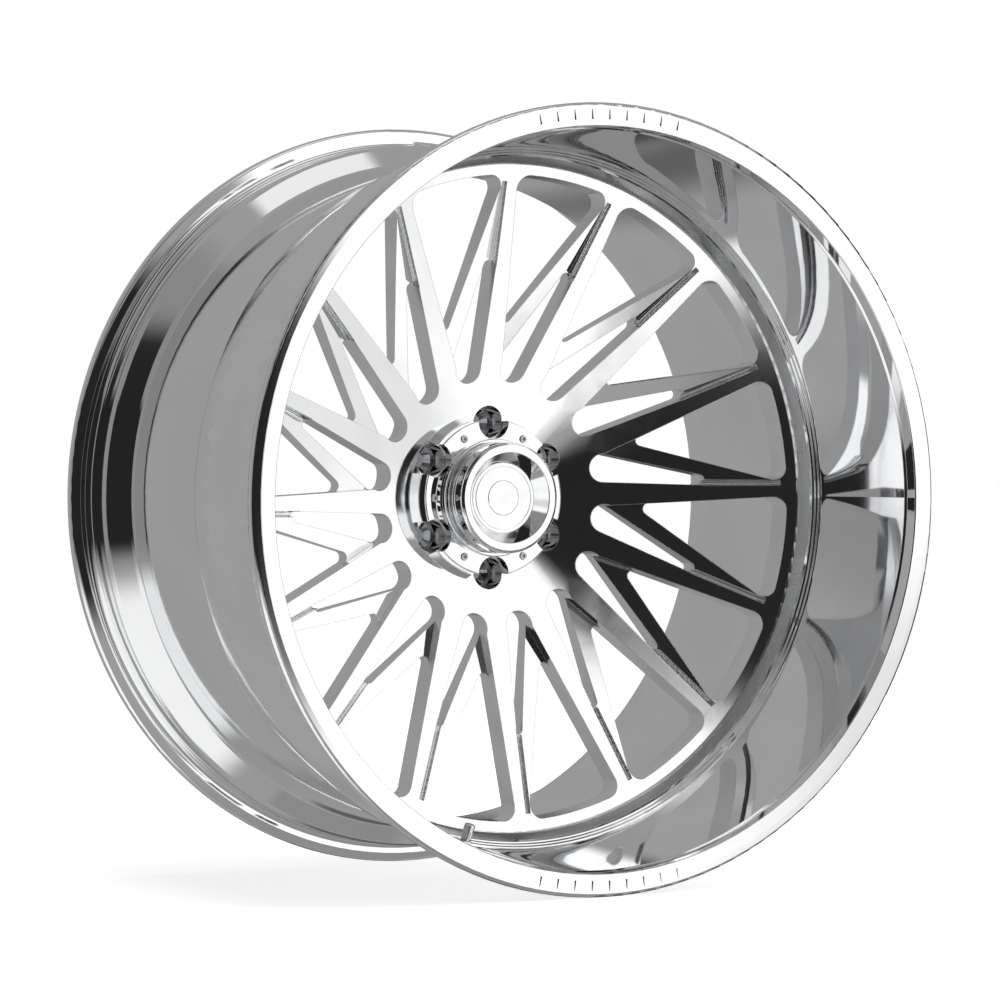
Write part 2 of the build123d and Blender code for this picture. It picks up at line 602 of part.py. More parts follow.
def make_valve_pin():
    """Pin that opens the core when pressed."""
    return tube(PIN_RADIUS, 0, 0.5, STEM_LENGTH - 0.3)


def make_pin_seal():
    """Rubber seal on the pin's foot."""
    foot = PIN_TRAVEL + 0.6
    return tube(PIN_SEAL_RADIUS, PIN_RADIUS, foot, foot + 1.2)


def make_valve_spring():
    """Coil spring round the pin, under the gasket."""
    _, _, gasket_foot = core_levels()
    low = STEM_LENGTH - CORE_BORE_DEPTH + SPRING_WIRE_RADIUS + 0.05
    height = gasket_foot - SPRING_WIRE_RADIUS - 0.05 - low
    path = Helix(pitch=SPRING_PITCH, height=height, radius=SPRING_RADIUS)
    section = Plane(path @ 0, z_dir=path % 0) * Circle(SPRING_WIRE_RADIUS)
    return Pos(0, 0, low) * sweep(section, path, is_frenet=True)


def cap_levels():
    """Heights of the dust cap: open mouth, underside of the roof and top."""
    mouth = STEM_LENGTH - STEM_TIP_LENGTH + 0.6
    roof = STEM_LENGTH + 1.1
    return mouth, roof, roof + VALVE_CAP_TOP


def make_valve_cap():
    """Fluted metal dust cap on the stem's tip."""
    mouth, roof, top = cap_levels()
    cap = tube(VALVE_CAP_RADIUS, 0, mouth, top)
    cap = fillet(cap.edges().sort_by(Axis.Z)[-1], 1.8)
    cap -= tube(STEM_TIP_RADIUS + THREAD_GAP, 0, mouth - 1, roof)
    flute = Pos(VALVE_CAP_RADIUS + 0.35, 0, mouth + 3.6) * Cylinder(0.7, 6.4)
    flutes = [Rot(Z=360 / VALVE_CAP_FLUTES * k) * flute for k in range(VALVE_CAP_FLUTES)]
    return cap - flutes


def make_cap_seal():
    """Rubber ring under the roof of the dust cap."""
    _, roof, _ = cap_levels()
    return tube(STEM_TIP_RADIUS - 0.05, 1.6, STEM_LENGTH + 0.05, roof - 0.05)


VALVE_SEAT = valve_seat()

nodes = {
    "rim_barrel": make_barrel(),
    "wheel_centre": make_centre(),
    "front_weld_bead": make_front_weld(),
    "rear_weld_bead": make_rear_weld(),
    "cap_base": make_cap_base(),
    "cap_head": make_cap_head(),
    "cap_disc": make_cap_disc(),
    "cap_disc_pad": make_cap_pad(),
    "cap_o_ring": make_o_ring(),
    "cap_screws": make_cap_screws(),
}
valve_nodes = {
    "valve_stem": make_valve_stem(),
    "valve_grommet": make_valve_grommet(),
    "valve_washer": make_valve_washer(),
    "valve_nut": make_valve_nut(),
    "valve_core_body": make_core_body(),
    "valve_core_gasket": make_core_gasket(),
    "valve_pin": make_valve_pin(),
    "valve_pin_seal": make_pin_seal(),
    "valve_spring": make_valve_spring(),
    "valve_cap": make_valve_cap(),
    "valve_cap_seal": make_cap_seal(),
}
nodes.update({name: VALVE_SEAT * solid for name, solid in valve_nodes.items()})

os.makedirs("parts", exist_ok=True)
for name, shape in nodes.items():
    export_step(shape, f"parts/{name}.step")
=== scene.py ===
"""Forged truck wheel rim: machined zones, turned and threaded detail, metal finishes and studio."""

import logging
import math
from dataclasses import dataclass, field
from enum import Enum
from typing import Callable, Optional, Sequence, Union

import bmesh
import bpy
from mathutils import Matrix, Vector

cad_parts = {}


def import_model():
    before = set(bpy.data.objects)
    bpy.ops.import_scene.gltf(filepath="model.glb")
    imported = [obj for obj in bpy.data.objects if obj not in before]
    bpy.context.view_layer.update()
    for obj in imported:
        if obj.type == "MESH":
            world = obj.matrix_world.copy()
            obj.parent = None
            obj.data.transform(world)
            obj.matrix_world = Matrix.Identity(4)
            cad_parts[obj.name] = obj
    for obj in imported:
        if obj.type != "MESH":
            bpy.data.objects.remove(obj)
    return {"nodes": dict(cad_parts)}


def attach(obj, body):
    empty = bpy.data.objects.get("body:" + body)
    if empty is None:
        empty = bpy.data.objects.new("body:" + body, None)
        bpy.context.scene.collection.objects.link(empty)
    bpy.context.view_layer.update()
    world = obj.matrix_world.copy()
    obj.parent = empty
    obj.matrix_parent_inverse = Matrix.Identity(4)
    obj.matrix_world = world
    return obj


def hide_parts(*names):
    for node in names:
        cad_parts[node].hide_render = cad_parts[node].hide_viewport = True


LOG = logging.getLogger("wheel")
MM = 0.001

Colour = tuple[float, float, float]
Corner = tuple[float, float, float]
Feed = Union[float, bpy.types.NodeSocket]


# ---- shader graph help ---------------------------------------------------------------
class Graph:
    """Thin wrapper round a node tree that adds nodes and links in one call."""

    def __init__(self, tree: bpy.types.NodeTree) -> None:
        """Wraps a tree.

        Args:
            tree: The node tree that gets the nodes.
        """
        self.tree = tree

    def node(self, kind: str, **settings: object) -> bpy.types.Node:
        """Adds a node.

        Args:
            kind: The node's type name.
            settings: Properties set on the node itself.

        Returns:
            The new node.
        """
        made = self.tree.nodes.new(kind)
        for name, value in settings.items():
            setattr(made, name, value)
        return made

    def feed(self, target: bpy.types.NodeSocket, value: Feed) -> None:
        """Links a socket to an input, or sets the input to a number.

        Args:
            target: The input socket.
            value: A socket to link from, or a plain value.
        """
        if isinstance(value, bpy.types.NodeSocket):
            self.tree.links.new(value, target)
        else:
            target.default_value = value

    def math(self, operation: str, *values: Feed, clamp: bool = False) -> bpy.types.NodeSocket:
        """Adds a Math node.

        Args:
            operation: The Math node's operation.
            values: Its inputs in order, sockets or numbers.
            clamp: Whether the result is held to the range 0 to 1.

        Returns:
            The node's result.
        """
        made = self.node("ShaderNodeMath", operation=operation, use_clamp=clamp)
        for target, value in zip(made.inputs, values):
            self.feed(target, value)
        return made.outputs[0]

    def remap(
        self, value: Feed, low: float, high: float, to_low: float, to_high: float,
    ) -> bpy.types.NodeSocket:
        """Adds a smooth Map Range node.

        Args:
            value: What is mapped.
            low: Start of the input range.
            high: End of the input range.
            to_low: Output at the start.
            to_high: Output at the end.

        Returns:
            The mapped value.
        """
        made = self.node("ShaderNodeMapRange", interpolation_type="SMOOTHSTEP")
        for target, given in zip(made.inputs, (value, low, high, to_low, to_high)):
            self.feed(target, given)
        return made.outputs[0]

    def place(self) -> bpy.types.NodeSocket:
        """Object coordinates, in metres from the wheel's centre."""
        return self.node("ShaderNodeTexCoord").outputs["Object"]

    def split(self, place: bpy.types.NodeSocket) -> Sequence[bpy.types.NodeSocket]:
        """Splits a vector into its parts.

        Args:
            place: The vector.

        Returns:
            Its x, y and z.
        """
        made = self.node("ShaderNodeSeparateXYZ")
        self.feed(made.inputs[0], place)
        return made.outputs

    def tint(self, factor: Feed, first: Colour, second: Colour) -> bpy.types.NodeSocket:
        """Mixes two colours.

        Args:
            factor: Share of the second colour.
            first: The first colour.
            second: The second colour.

        Returns:
            The mixed colour.
        """
        made = self.node("ShaderNodeMix", data_type="RGBA")
        self.feed(made.inputs["Factor"], factor)
        made.inputs["A"].default_value = (*first, 1.0)
        made.inputs["B"].default_value = (*second, 1.0)
        return made.outputs["Result"]

    def bump(self, shader: bpy.types.Node, strength: float, depth: float, height: Feed) -> bpy.types.Node:
        """Puts a Bump node in front of a shader's normal.

        Args:
            shader: The shader.
            strength: The bump's strength.
            depth: Height in metres of a value of 1.
            height: The height.

        Returns:
            The Bump node.
        """
        made = self.node("ShaderNodeBump")
        for label, value in (("Strength", strength), ("Distance", depth), ("Height", height)):
            self.feed(made.inputs[label], value)
        self.feed(shader.inputs["Normal"], made.outputs["Normal"])
        return made

    def noise(self, place: bpy.types.NodeSocket, scale: Feed, detail: float = 2.0) -> bpy.types.NodeSocket:
        """Adds a Noise Texture.

        Args:
            place: Coordinates that it reads.
            scale: Features per metre.
            detail: Octaves of finer noise.

        Returns:
            The noise value, 0 to 1.
        """
        made = self.node("ShaderNodeTexNoise")
        self.feed(made.inputs["Vector"], place)
        self.feed(made.inputs["Scale"], scale)
        self.feed(made.inputs["Detail"], detail)
        return made.outputs["Fac"]


def new_group(
    name: str, inputs: dict[str, float], outputs: Sequence[str],
) -> tuple[Graph, bpy.types.Node, bpy.types.Node]:
    """Starts a shader group with float sockets.

    Args:
        name: The group's name.
        inputs: Input names and their default values.
        outputs: Output names.

    Returns:
        The group's graph, its input node and its output node.
    """
    tree = bpy.data.node_groups.new(name, "ShaderNodeTree")
    for label, value in inputs.items():
        tree.interface.new_socket(label, in_out="INPUT", socket_type="NodeSocketFloat").default_value = value
    for label in outputs:
        tree.interface.new_socket(label, in_out="OUTPUT", socket_type="NodeSocketFloat")
    graph = Graph(tree)
    return graph, graph.node("NodeGroupInput"), graph.node("NodeGroupOutput")


class Effect(Enum):
    """Surface effects that several finishes share, each one shader group."""

    LATHE_RINGS = "lathe_rings"
    MILL_FEED = "mill_feed"
    POLISH_HAZE = "polish_haze"
    FORGED_GRAIN = "forged_grain"
    EDGE_RUB = "edge_rub"

    def group(self) -> bpy.types.NodeTree:
        """The effect's shader group, built the first time it is asked for."""
        made = bpy.data.node_groups.get(self.value)
        if made is None:
            BUILDERS[self]()
            made = bpy.data.node_groups[self.value]
        return made

    def add(self, graph: Graph, **values: Feed) -> bpy.types.Node:
        """Places the effect in a material.

        Args:
            graph: The material's graph.
            values: Input values, named as the inputs with underscores for spaces.

        Returns:
            The group node.
        """
        made = graph.node("ShaderNodeGroup")
        made.node_tree = self.group()
        for label, value in values.items():
            graph.feed(made.inputs[label.replace("_", " ")], value)
        return made


def build_lathe_rings() -> None:
    """Fine rings left by the lathe tool, wandering a little in depth round the wheel."""
    graph, given, put = new_group("lathe_rings", {"Pitch": 0.002, "Drift": 0.3}, ("Height",))
    x, y, z = graph.split(graph.place())
    radius = graph.math("SQRT", graph.math("ADD", graph.math("MULTIPLY", x, x), graph.math("MULTIPLY", z, z)))
    along = graph.math("ADD", radius, graph.math("MULTIPLY", y, 0.83))
    ring = graph.node("ShaderNodeTexNoise", noise_dimensions="1D")
    graph.feed(ring.inputs["W"], graph.math("DIVIDE", along, given.outputs["Pitch"]))
    graph.feed(ring.inputs["Scale"], 1.0)
    graph.feed(ring.inputs["Detail"], 3.0)
    drift = graph.math("MULTIPLY", graph.noise(graph.place(), 14.0, 1.0), given.outputs["Drift"])
    strength = graph.math("ADD", drift, 0.7)
    graph.feed(put.inputs["Height"], graph.math("MULTIPLY", ring.outputs["Fac"], strength))


def build_mill_feed() -> None:
    """Straight feed lines that an end mill leaves down a wall, with a chatter across them."""
    graph, given, put = new_group("mill_feed", {"Step": 0.0012, "Chatter": 0.35}, ("Height",))
    x, y, z = graph.split(graph.place())
    turn = graph.math("DIVIDE", math.tau, given.outputs["Step"])
    passes = graph.math("SINE", graph.math("MULTIPLY", y, turn))
    spread = graph.math("ADD", x, z)
    chatter = graph.math("SINE", graph.math("MULTIPLY", spread, graph.math("MULTIPLY", turn, 0.61)))
    mixed = graph.math("ADD", passes, graph.math("MULTIPLY", chatter, given.outputs["Chatter"]))
    patchy = graph.noise(graph.place(), 160.0, 2.0)
    graph.feed(put.inputs["Height"], graph.math("MULTIPLY", mixed, patchy))


def build_polish_haze() -> None:
    """Cloudy polishing haze and thin wipe marks, as a roughness rise and a height."""
    graph, given, put = new_group("polish_haze", {"Cloud Size": 0.05, "Wipe": 0.5}, ("Haze", "Height"))
    place = graph.place()
    cloud = graph.noise(place, graph.math("DIVIDE", 1.0, given.outputs["Cloud Size"]), 4.0)
    stretch = graph.node("ShaderNodeMapping")
    graph.feed(stretch.inputs["Vector"], place)
    stretch.inputs["Scale"].default_value = (40.0, 1.0, 900.0)
    stretch.inputs["Rotation"].default_value = (0.0, math.radians(27.0), 0.0)
    wipe = graph.noise(stretch.outputs[0], 1.0, 3.0)
    lines = graph.remap(wipe, 0.62, 0.75, 0.0, 1.0)
    clouds = graph.remap(cloud, 0.35, 0.7, 0.0, 1.0)
    haze = graph.math("ADD", clouds, graph.math("MULTIPLY", lines, given.outputs["Wipe"]))
    graph.feed(put.inputs["Haze"], haze)
    graph.feed(put.inputs["Height"], graph.math("MULTIPLY", wipe, given.outputs["Wipe"]))


def build_forged_grain() -> None:
    """Fine peened grain of blasted or forged metal, as a height and a mottle."""
    graph, given, put = new_group("forged_grain", {"Grain": 0.0008}, ("Height", "Mottle"))
    place = graph.place()
    fine = graph.noise(place, graph.math("DIVIDE", 1.0, given.outputs["Grain"]), 3.0)
    pits = graph.node("ShaderNodeTexVoronoi")
    graph.feed(pits.inputs["Vector"], place)
    graph.feed(pits.inputs["Scale"], graph.math("DIVIDE", 0.6, given.outputs["Grain"]))
    graph.feed(put.inputs["Height"], graph.math("ADD", fine, pits.outputs["Distance"]))
    graph.feed(put.inputs["Mottle"], graph.noise(place, 60.0, 4.0))


def build_edge_rub() -> None:
    """Rounded-off edges: their normal, and a mask of where it leaves the flat one."""
    graph, given, put = new_group("edge_rub", {"Width": 0.0008, "Break Up": 0.5}, ("Mask",))
    graph.tree.interface.new_socket("Normal", in_out="OUTPUT", socket_type="NodeSocketVector")
    rounded = graph.node("ShaderNodeBevel", samples=4)
    graph.feed(rounded.inputs["Radius"], given.outputs["Width"])
    flat = graph.node("ShaderNodeNewGeometry")
    dot = graph.node("ShaderNodeVectorMath", operation="DOT_PRODUCT")
    graph.feed(dot.inputs[0], rounded.outputs["Normal"])
    graph.feed(dot.inputs[1], flat.outputs["Normal"])
    edge = graph.remap(dot.outputs["Value"], 0.999, 0.93, 0.0, 1.0)
    broken = graph.math("MULTIPLY", graph.noise(graph.place(), 220.0, 3.0), given.outputs["Break Up"])
    graph.feed(put.inputs["Mask"], graph.math("SUBTRACT", edge, broken, clamp=True))
    graph.feed(put.inputs["Normal"], rounded.outputs["Normal"])


BUILDERS: dict[Effect, Callable[[], None]] = {
    Effect.LATHE_RINGS: build_lathe_rings,
    Effect.MILL_FEED: build_mill_feed,
    Effect.POLISH_HAZE: build_polish_haze,
    Effect.FORGED_GRAIN: build_forged_grain,
    Effect.EDGE_RUB: build_edge_rub,
}


# ---- finishes ------------------------------------------------------------------------
def shaded(name: str) -> tuple[bpy.types.Material, Graph, bpy.types.Node]:
    """Starts a material.

    Args:
        name: The material's name.

    Returns:
        The material, its graph and its main shader.
    """
    made = bpy.data.materials.new(name)
    made.use_nodes = True
    return made, Graph(made.node_tree), made.node_tree.nodes["Principled BSDF"]


@dataclass(frozen=True)
class Finish:
    """What every finish has: a name, a colour with its darker shade, and a roughness."""

    name: str
    colour: Colour
    shade: Colour
    roughness: float

    def build(self) -> bpy.types.Material:
        """The finish as a material, built once.

        Returns:
            The material.
        """
        made = bpy.data.materials.get(self.name)
        if made is None:
            made, graph, shader = shaded(self.name)
            self.fill(graph, shader)
        return made

    def fill(self, graph: Graph, shader: bpy.types.Node) -> None:
        """Adds the finish's own nodes; each kind of finish has its own."""
        raise NotImplementedError


@dataclass(frozen=True)
class MetalFinish(Finish):
    """Bare or plated metal: a cut pattern, polishing haze and rubbed edges over one alloy colour."""

    haze: float = 0.03
    cloud_size: float = 0.05
    wipe: float = 0.5
    pattern: Optional[Effect] = Effect.LATHE_RINGS
    pitch: float = 0.002
    depth: float = 2.0e-6
    wipe_depth: float = 0.0
    edge_width: float = 0.0
    edge_roughness: float = 0.1

    def fill(self, graph: Graph, shader: bpy.types.Node) -> None:
        """Adds the finish's nodes.

        Args:
            graph: The material's graph.
            shader: Its main shader.
        """
        shader.inputs["Metallic"].default_value = 1.0
        haze = Effect.POLISH_HAZE.add(graph, Cloud_Size=self.cloud_size, Wipe=self.wipe)
        rough = graph.math("MULTIPLY_ADD", haze.outputs["Haze"], self.haze, self.roughness)
        bump = graph.bump(shader, 1.0, self.depth, self.height(graph, haze))
        if self.edge_width > 0.0:
            edge = Effect.EDGE_RUB.add(graph, Width=self.edge_width, Break_Up=0.45)
            rough = graph.math("MULTIPLY_ADD", edge.outputs["Mask"], self.edge_roughness, rough)
            graph.feed(bump.inputs["Normal"], edge.outputs["Normal"])
        graph.feed(shader.inputs["Roughness"], rough)
        graph.feed(shader.inputs["Base Color"], graph.tint(haze.outputs["Haze"], self.colour, self.shade))

    def height(self, graph: Graph, haze: bpy.types.Node) -> bpy.types.NodeSocket:
        """Height of the cut pattern with the wipe marks on it.

        Args:
            graph: The material's graph.
            haze: The polishing haze group in it.

        Returns:
            The height.
        """
        wiped = graph.math("MULTIPLY", haze.outputs["Height"], self.wipe_depth)
        if self.pattern is Effect.LATHE_RINGS:
            cut = self.pattern.add(graph, Pitch=self.pitch, Drift=0.4)
        elif self.pattern is Effect.MILL_FEED:
            cut = self.pattern.add(graph, Step=self.pitch, Chatter=0.35)
        else:
            cut = Effect.FORGED_GRAIN.add(graph, Grain=self.pitch)
        return graph.math("ADD", cut.outputs["Height"], wiped)


@dataclass(frozen=True)
class SoftFinish(Finish):
    """Rubber, plastic or foam: a mottled colour, a fine skin and a little sheen on raised grain."""

    grain: float = 0.0006
    depth: float = 3.0e-5

    def fill(self, graph: Graph, shader: bpy.types.Node) -> None:
        """Adds the finish's nodes.

        Args:
            graph: The material's graph.
            shader: Its main shader.
        """
        grain = Effect.FORGED_GRAIN.add(graph, Grain=self.grain)
        graph.feed(shader.inputs["Base Color"], graph.tint(grain.outputs["Mottle"], self.colour, self.shade))
        rough = graph.math("MULTIPLY_ADD", grain.outputs["Mottle"], 0.15, self.roughness)
        graph.feed(shader.inputs["Roughness"], rough)
        graph.bump(shader, 0.6, self.depth, grain.outputs["Height"])


BRIGHT = (0.93, 0.935, 0.94)
BRIGHT_SHADE = (0.88, 0.885, 0.895)

FACE_POLISH = MetalFinish(
    "face_polish", BRIGHT, BRIGHT_SHADE, roughness=0.045, haze=0.012, pitch=0.0024, depth=2.0e-6,
    wipe_depth=0.2, edge_width=0.0009,
)
BLADE_POLISH = MetalFinish(
    "blade_polish", BRIGHT, BRIGHT_SHADE, roughness=0.06, haze=0.02, pitch=0.0031, depth=2.0e-6,
    wipe_depth=0.3, edge_width=0.0009,
)
WALL_MILLED = MetalFinish(
    "wall_milled", (0.86, 0.865, 0.87), (0.8, 0.805, 0.815), roughness=0.16, haze=0.06,
    pattern=Effect.MILL_FEED, pitch=0.0022, depth=9.0e-6,
)
GROOVE_MILLED = MetalFinish(
    "groove_milled", (0.84, 0.845, 0.85), (0.74, 0.745, 0.755), roughness=0.14, haze=0.08,
    pattern=Effect.MILL_FEED, pitch=0.0016, depth=4.0e-5,
)
LIP_MIRROR = MetalFinish(
    "lip_mirror", BRIGHT, BRIGHT_SHADE, roughness=0.025, haze=0.012, cloud_size=0.08, pitch=0.006,
    depth=2.5e-6,
)
BARREL_TURNED = MetalFinish(
    "barrel_turned", (0.9, 0.905, 0.91), (0.86, 0.865, 0.875), roughness=0.045, haze=0.012, cloud_size=0.12,
    pitch=0.0032, depth=2.0e-6,
)
REAR_MACHINED = MetalFinish(
    "rear_machined", (0.82, 0.825, 0.83), (0.72, 0.725, 0.735), roughness=0.26, haze=0.08, pitch=0.0028,
    depth=3.0e-5, edge_width=0.001,
)
POCKET_MACHINED = MetalFinish(
    "pocket_machined", (0.62, 0.625, 0.635), (0.5, 0.505, 0.515), roughness=0.05, haze=0.03,
    pattern=Effect.MILL_FEED, pitch=0.0012, depth=4.0e-6,
)
WELD_DRESSED = MetalFinish(
    "weld_dressed", (0.92, 0.925, 0.93), (0.84, 0.845, 0.85), roughness=0.04, haze=0.05, cloud_size=0.01,
    pitch=0.0022, depth=1.2e-5, wipe_depth=0.5,
)
WELD_RAW = MetalFinish(
    "weld_raw", (0.7, 0.71, 0.73), (0.5, 0.51, 0.54), roughness=0.3, haze=0.2, cloud_size=0.006,
    pattern=Effect.FORGED_GRAIN, pitch=0.0012, depth=6.0e-5,
)
CHROME = MetalFinish(
    "chrome_plate", (0.92, 0.925, 0.93), (0.87, 0.875, 0.885), roughness=0.012, haze=0.012, cloud_size=0.02,
    pitch=0.003, depth=1.0e-6, edge_width=0.0004, edge_roughness=0.05,
)
CHROME_BRASS = MetalFinish(
    "chromed_brass", (0.86, 0.86, 0.86), (0.78, 0.77, 0.75), roughness=0.06, haze=0.08, cloud_size=0.006,
    pattern=Effect.FORGED_GRAIN, pitch=0.0009, depth=3.0e-6, edge_width=0.0002,
)
BRASS = MetalFinish(
    "bare_brass", (0.83, 0.62, 0.3), (0.66, 0.46, 0.2), roughness=0.18, haze=0.12, cloud_size=0.004,
    pattern=Effect.FORGED_GRAIN, pitch=0.0007, depth=4.0e-6,
)
STAINLESS = MetalFinish(
    "stainless_screw", (0.86, 0.86, 0.87), (0.76, 0.76, 0.77), roughness=0.05, haze=0.04, cloud_size=0.004,
    pattern=Effect.FORGED_GRAIN, pitch=0.0006, depth=3.0e-6, edge_width=0.0003,
)
SPRING_STEEL = MetalFinish(
    "spring_steel", (0.55, 0.56, 0.58), (0.4, 0.41, 0.43), roughness=0.22, haze=0.12, cloud_size=0.002,
    pattern=Effect.FORGED_GRAIN, pitch=0.0004, depth=2.0e-6,
)
DISC_SATIN = MetalFinish(
    "disc_satin", (0.92, 0.925, 0.93), (0.86, 0.865, 0.87), roughness=0.16, haze=0.05, cloud_size=0.015,
    pitch=0.0009, depth=6.0e-6, wipe_depth=0.3,
)
RUBBER = SoftFinish("black_rubber", (0.012, 0.012, 0.013), (0.03, 0.03, 0.031), 0.55)
SEAL_PLASTIC = SoftFinish(
    "seal_plastic", (0.75, 0.72, 0.66), (0.6, 0.57, 0.5), 0.4, grain=0.0004, depth=5.0e-6,
)
FOAM = SoftFinish("foam_pad", (0.05, 0.05, 0.055), (0.09, 0.09, 0.095), 0.85, grain=0.0005, depth=1.2e-4)


# ---- mesh help -----------------------------------------------------------------------
def linked(name: str, data: bpy.types.ID) -> bpy.types.Object:
    """Puts a new object in the scene.

    Args:
        name: The object's name.
        data: Its mesh, light or camera.

    Returns:
        The object.
    """
    made = bpy.data.objects.new(name, data)
    bpy.context.scene.collection.objects.link(made)
    return made


def aim(made: bpy.types.Object, at: Vector, way: Vector) -> None:
    """Places a lamp or camera.

    Args:
        made: The lamp or camera.
        at: Where it stands.
        way: The direction in which it looks.
    """
    made.location = at
    made.rotation_mode = "QUATERNION"
    made.rotation_quaternion = way.to_track_quat("-Z", "Y")


def finished_object(
    bm: bmesh.types.BMesh, name: str, body: str, finish: Finish,
    stands_for: Sequence[str], sharp_angle: float = 32.0,
) -> bpy.types.Object:
    """Turns a bmesh into a finished piece that rides on a body.

    Args:
        bm: The shape, which is freed.
        name: The piece's name.
        body: The body that it rides on.
        finish: Its finish.
        stands_for: The frame nodes that it replaces.
        sharp_angle: Edges sharper than this, in degrees, stay crisp.

    Returns:
        The piece.
    """
    bmesh.ops.remove_doubles(bm, verts=bm.verts[:], dist=1e-7)
    bmesh.ops.recalc_face_normals(bm, faces=bm.faces[:])
    mesh = bpy.data.meshes.new(name)
    bm.to_mesh(mesh)
    bm.free()
    mesh.shade_smooth()
    mesh.set_sharp_from_angle(angle=math.radians(sharp_angle))
    made = linked(name, mesh)
    weighted = made.modifiers.new("flat_faces_flat", "WEIGHTED_NORMAL")
    weighted.keep_sharp = True
    mesh.materials.append(finish.build())
    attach(made, body)
    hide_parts(*stands_for)
    LOG.info("%s: %d faces on %s", name, len(mesh.polygons), body)
    return made


@dataclass(frozen=True)
class Axis:
    """Axis that an outline is turned about, and how an outline point is placed beside it."""

    direction: Vector
    side: Vector

    def at(self, radius: float, height: float) -> Vector:
        """Point at a radius and a height, both in millimetres."""
        return (self.side * radius + self.direction * height) * MM


WHEEL_AXIS = Axis(Vector((0.0, 1.0, 0.0)), Vector((1.0, 0.0, 0.0)))
VALVE_AXIS = Axis(Vector((0.0, 0.0, 1.0)), Vector((1.0, 0.0, 0.0)))


def turned(
    outline: Sequence[Corner], axis: Axis, steps: int, segments: int = 5,
) -> bmesh.types.BMesh:
    """Turns a closed outline about an axis.

    Args:
        outline: Corners as radius, height and corner radius in millimetres, round the section.
        axis: The axis of the turn.
        steps: Faces round the turn.
        segments: Faces across each rounded corner.

    Returns:
        The bmesh.
    """
    made = bmesh.new()
    verts = [made.verts.new(axis.at(radius, height)) for radius, height, _ in outline]
    edges = len(outline)
    for k in range(edges):
        follows = (k + 1) % edges
        if outline[k][0] > 0.0 or outline[follows][0] > 0.0:
            made.edges.new((verts[k], verts[follows]))
    places = [vert.co.copy() for vert in verts]
    for k, (_, _, corner) in enumerate(outline):
        if corner <= 0.0:
            continue
        back = places[k - 1] - places[k]
        ahead = places[(k + 1) % edges] - places[k]
        reach = corner * MM / math.tan(back.angle(ahead) / 2)
        bmesh.ops.bevel(
            made, geom=[verts[k]], offset=reach, offset_type="OFFSET", segments=segments, profile=0.5,
            affect="VERTICES", material=-1, clamp_overlap=False,
        )
    bmesh.ops.spin(
        made, geom=made.verts[:] + made.edges[:], cent=(0.0, 0.0, 0.0), axis=axis.direction, angle=math.tau,
        steps=steps, use_merge=True, use_duplicate=False,
    )
    return made


def everywhere(radius: float, height: float, normal: Vector) -> bool:
    """Whether a face is in a zone that takes them all."""
    return True


class Zone:
    """Test on a face's middle and normal that gives it one of a piece's finishes."""

    def __init__(self, finish: MetalFinish, holds: Callable[[float, float, Vector], bool]) -> None:
        """Makes a zone.

        Args:
            finish: The finish of its faces.
            holds: Takes a face middle's radius and height in millimetres and its normal, and says
                whether it is in.
        """
        self.finish = finish
        self.holds = holds


def machined_copy(
    node: bpy.types.Object, name: str, body: str, zones: Sequence[Zone],
) -> bpy.types.Object:
    """Merged copy of a frame node whose faces take their finish from zones.

    Args:
        node: The frame node.
        name: The piece's name.
        body: The body that it rides on.
        zones: Zones in order, the last one holding every face that is left.

    Returns:
        The piece.
    """
    source = node.data
    normals = [corner.vector.copy() for corner in source.corner_normals]
    bm = bmesh.new()
    bm.from_mesh(source)
    count = len(bm.faces)
    bmesh.ops.remove_doubles(bm, verts=bm.verts[:], dist=1e-7)
    kept_order = len(bm.faces) == count
    for face in bm.faces:
        middle = face.calc_center_median()
        radius = math.hypot(middle.x, middle.z) / MM
        for k, zone in enumerate(zones):
            if zone.holds(radius, middle.y / MM, face.normal):
                face.material_index = k
                break
        face.smooth = True
    mesh = bpy.data.meshes.new(name)
    bm.to_mesh(mesh)
    bm.free()
    if kept_order:
        mesh.normals_split_custom_set(normals)
    for zone in zones:
        mesh.materials.append(zone.finish.build())
    made = linked(name, mesh)
    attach(made, body)
    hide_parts(node.name)
    LOG.info("%s: %d faces in %d finishes on %s", name, len(mesh.polygons), len(zones), body)
    return made


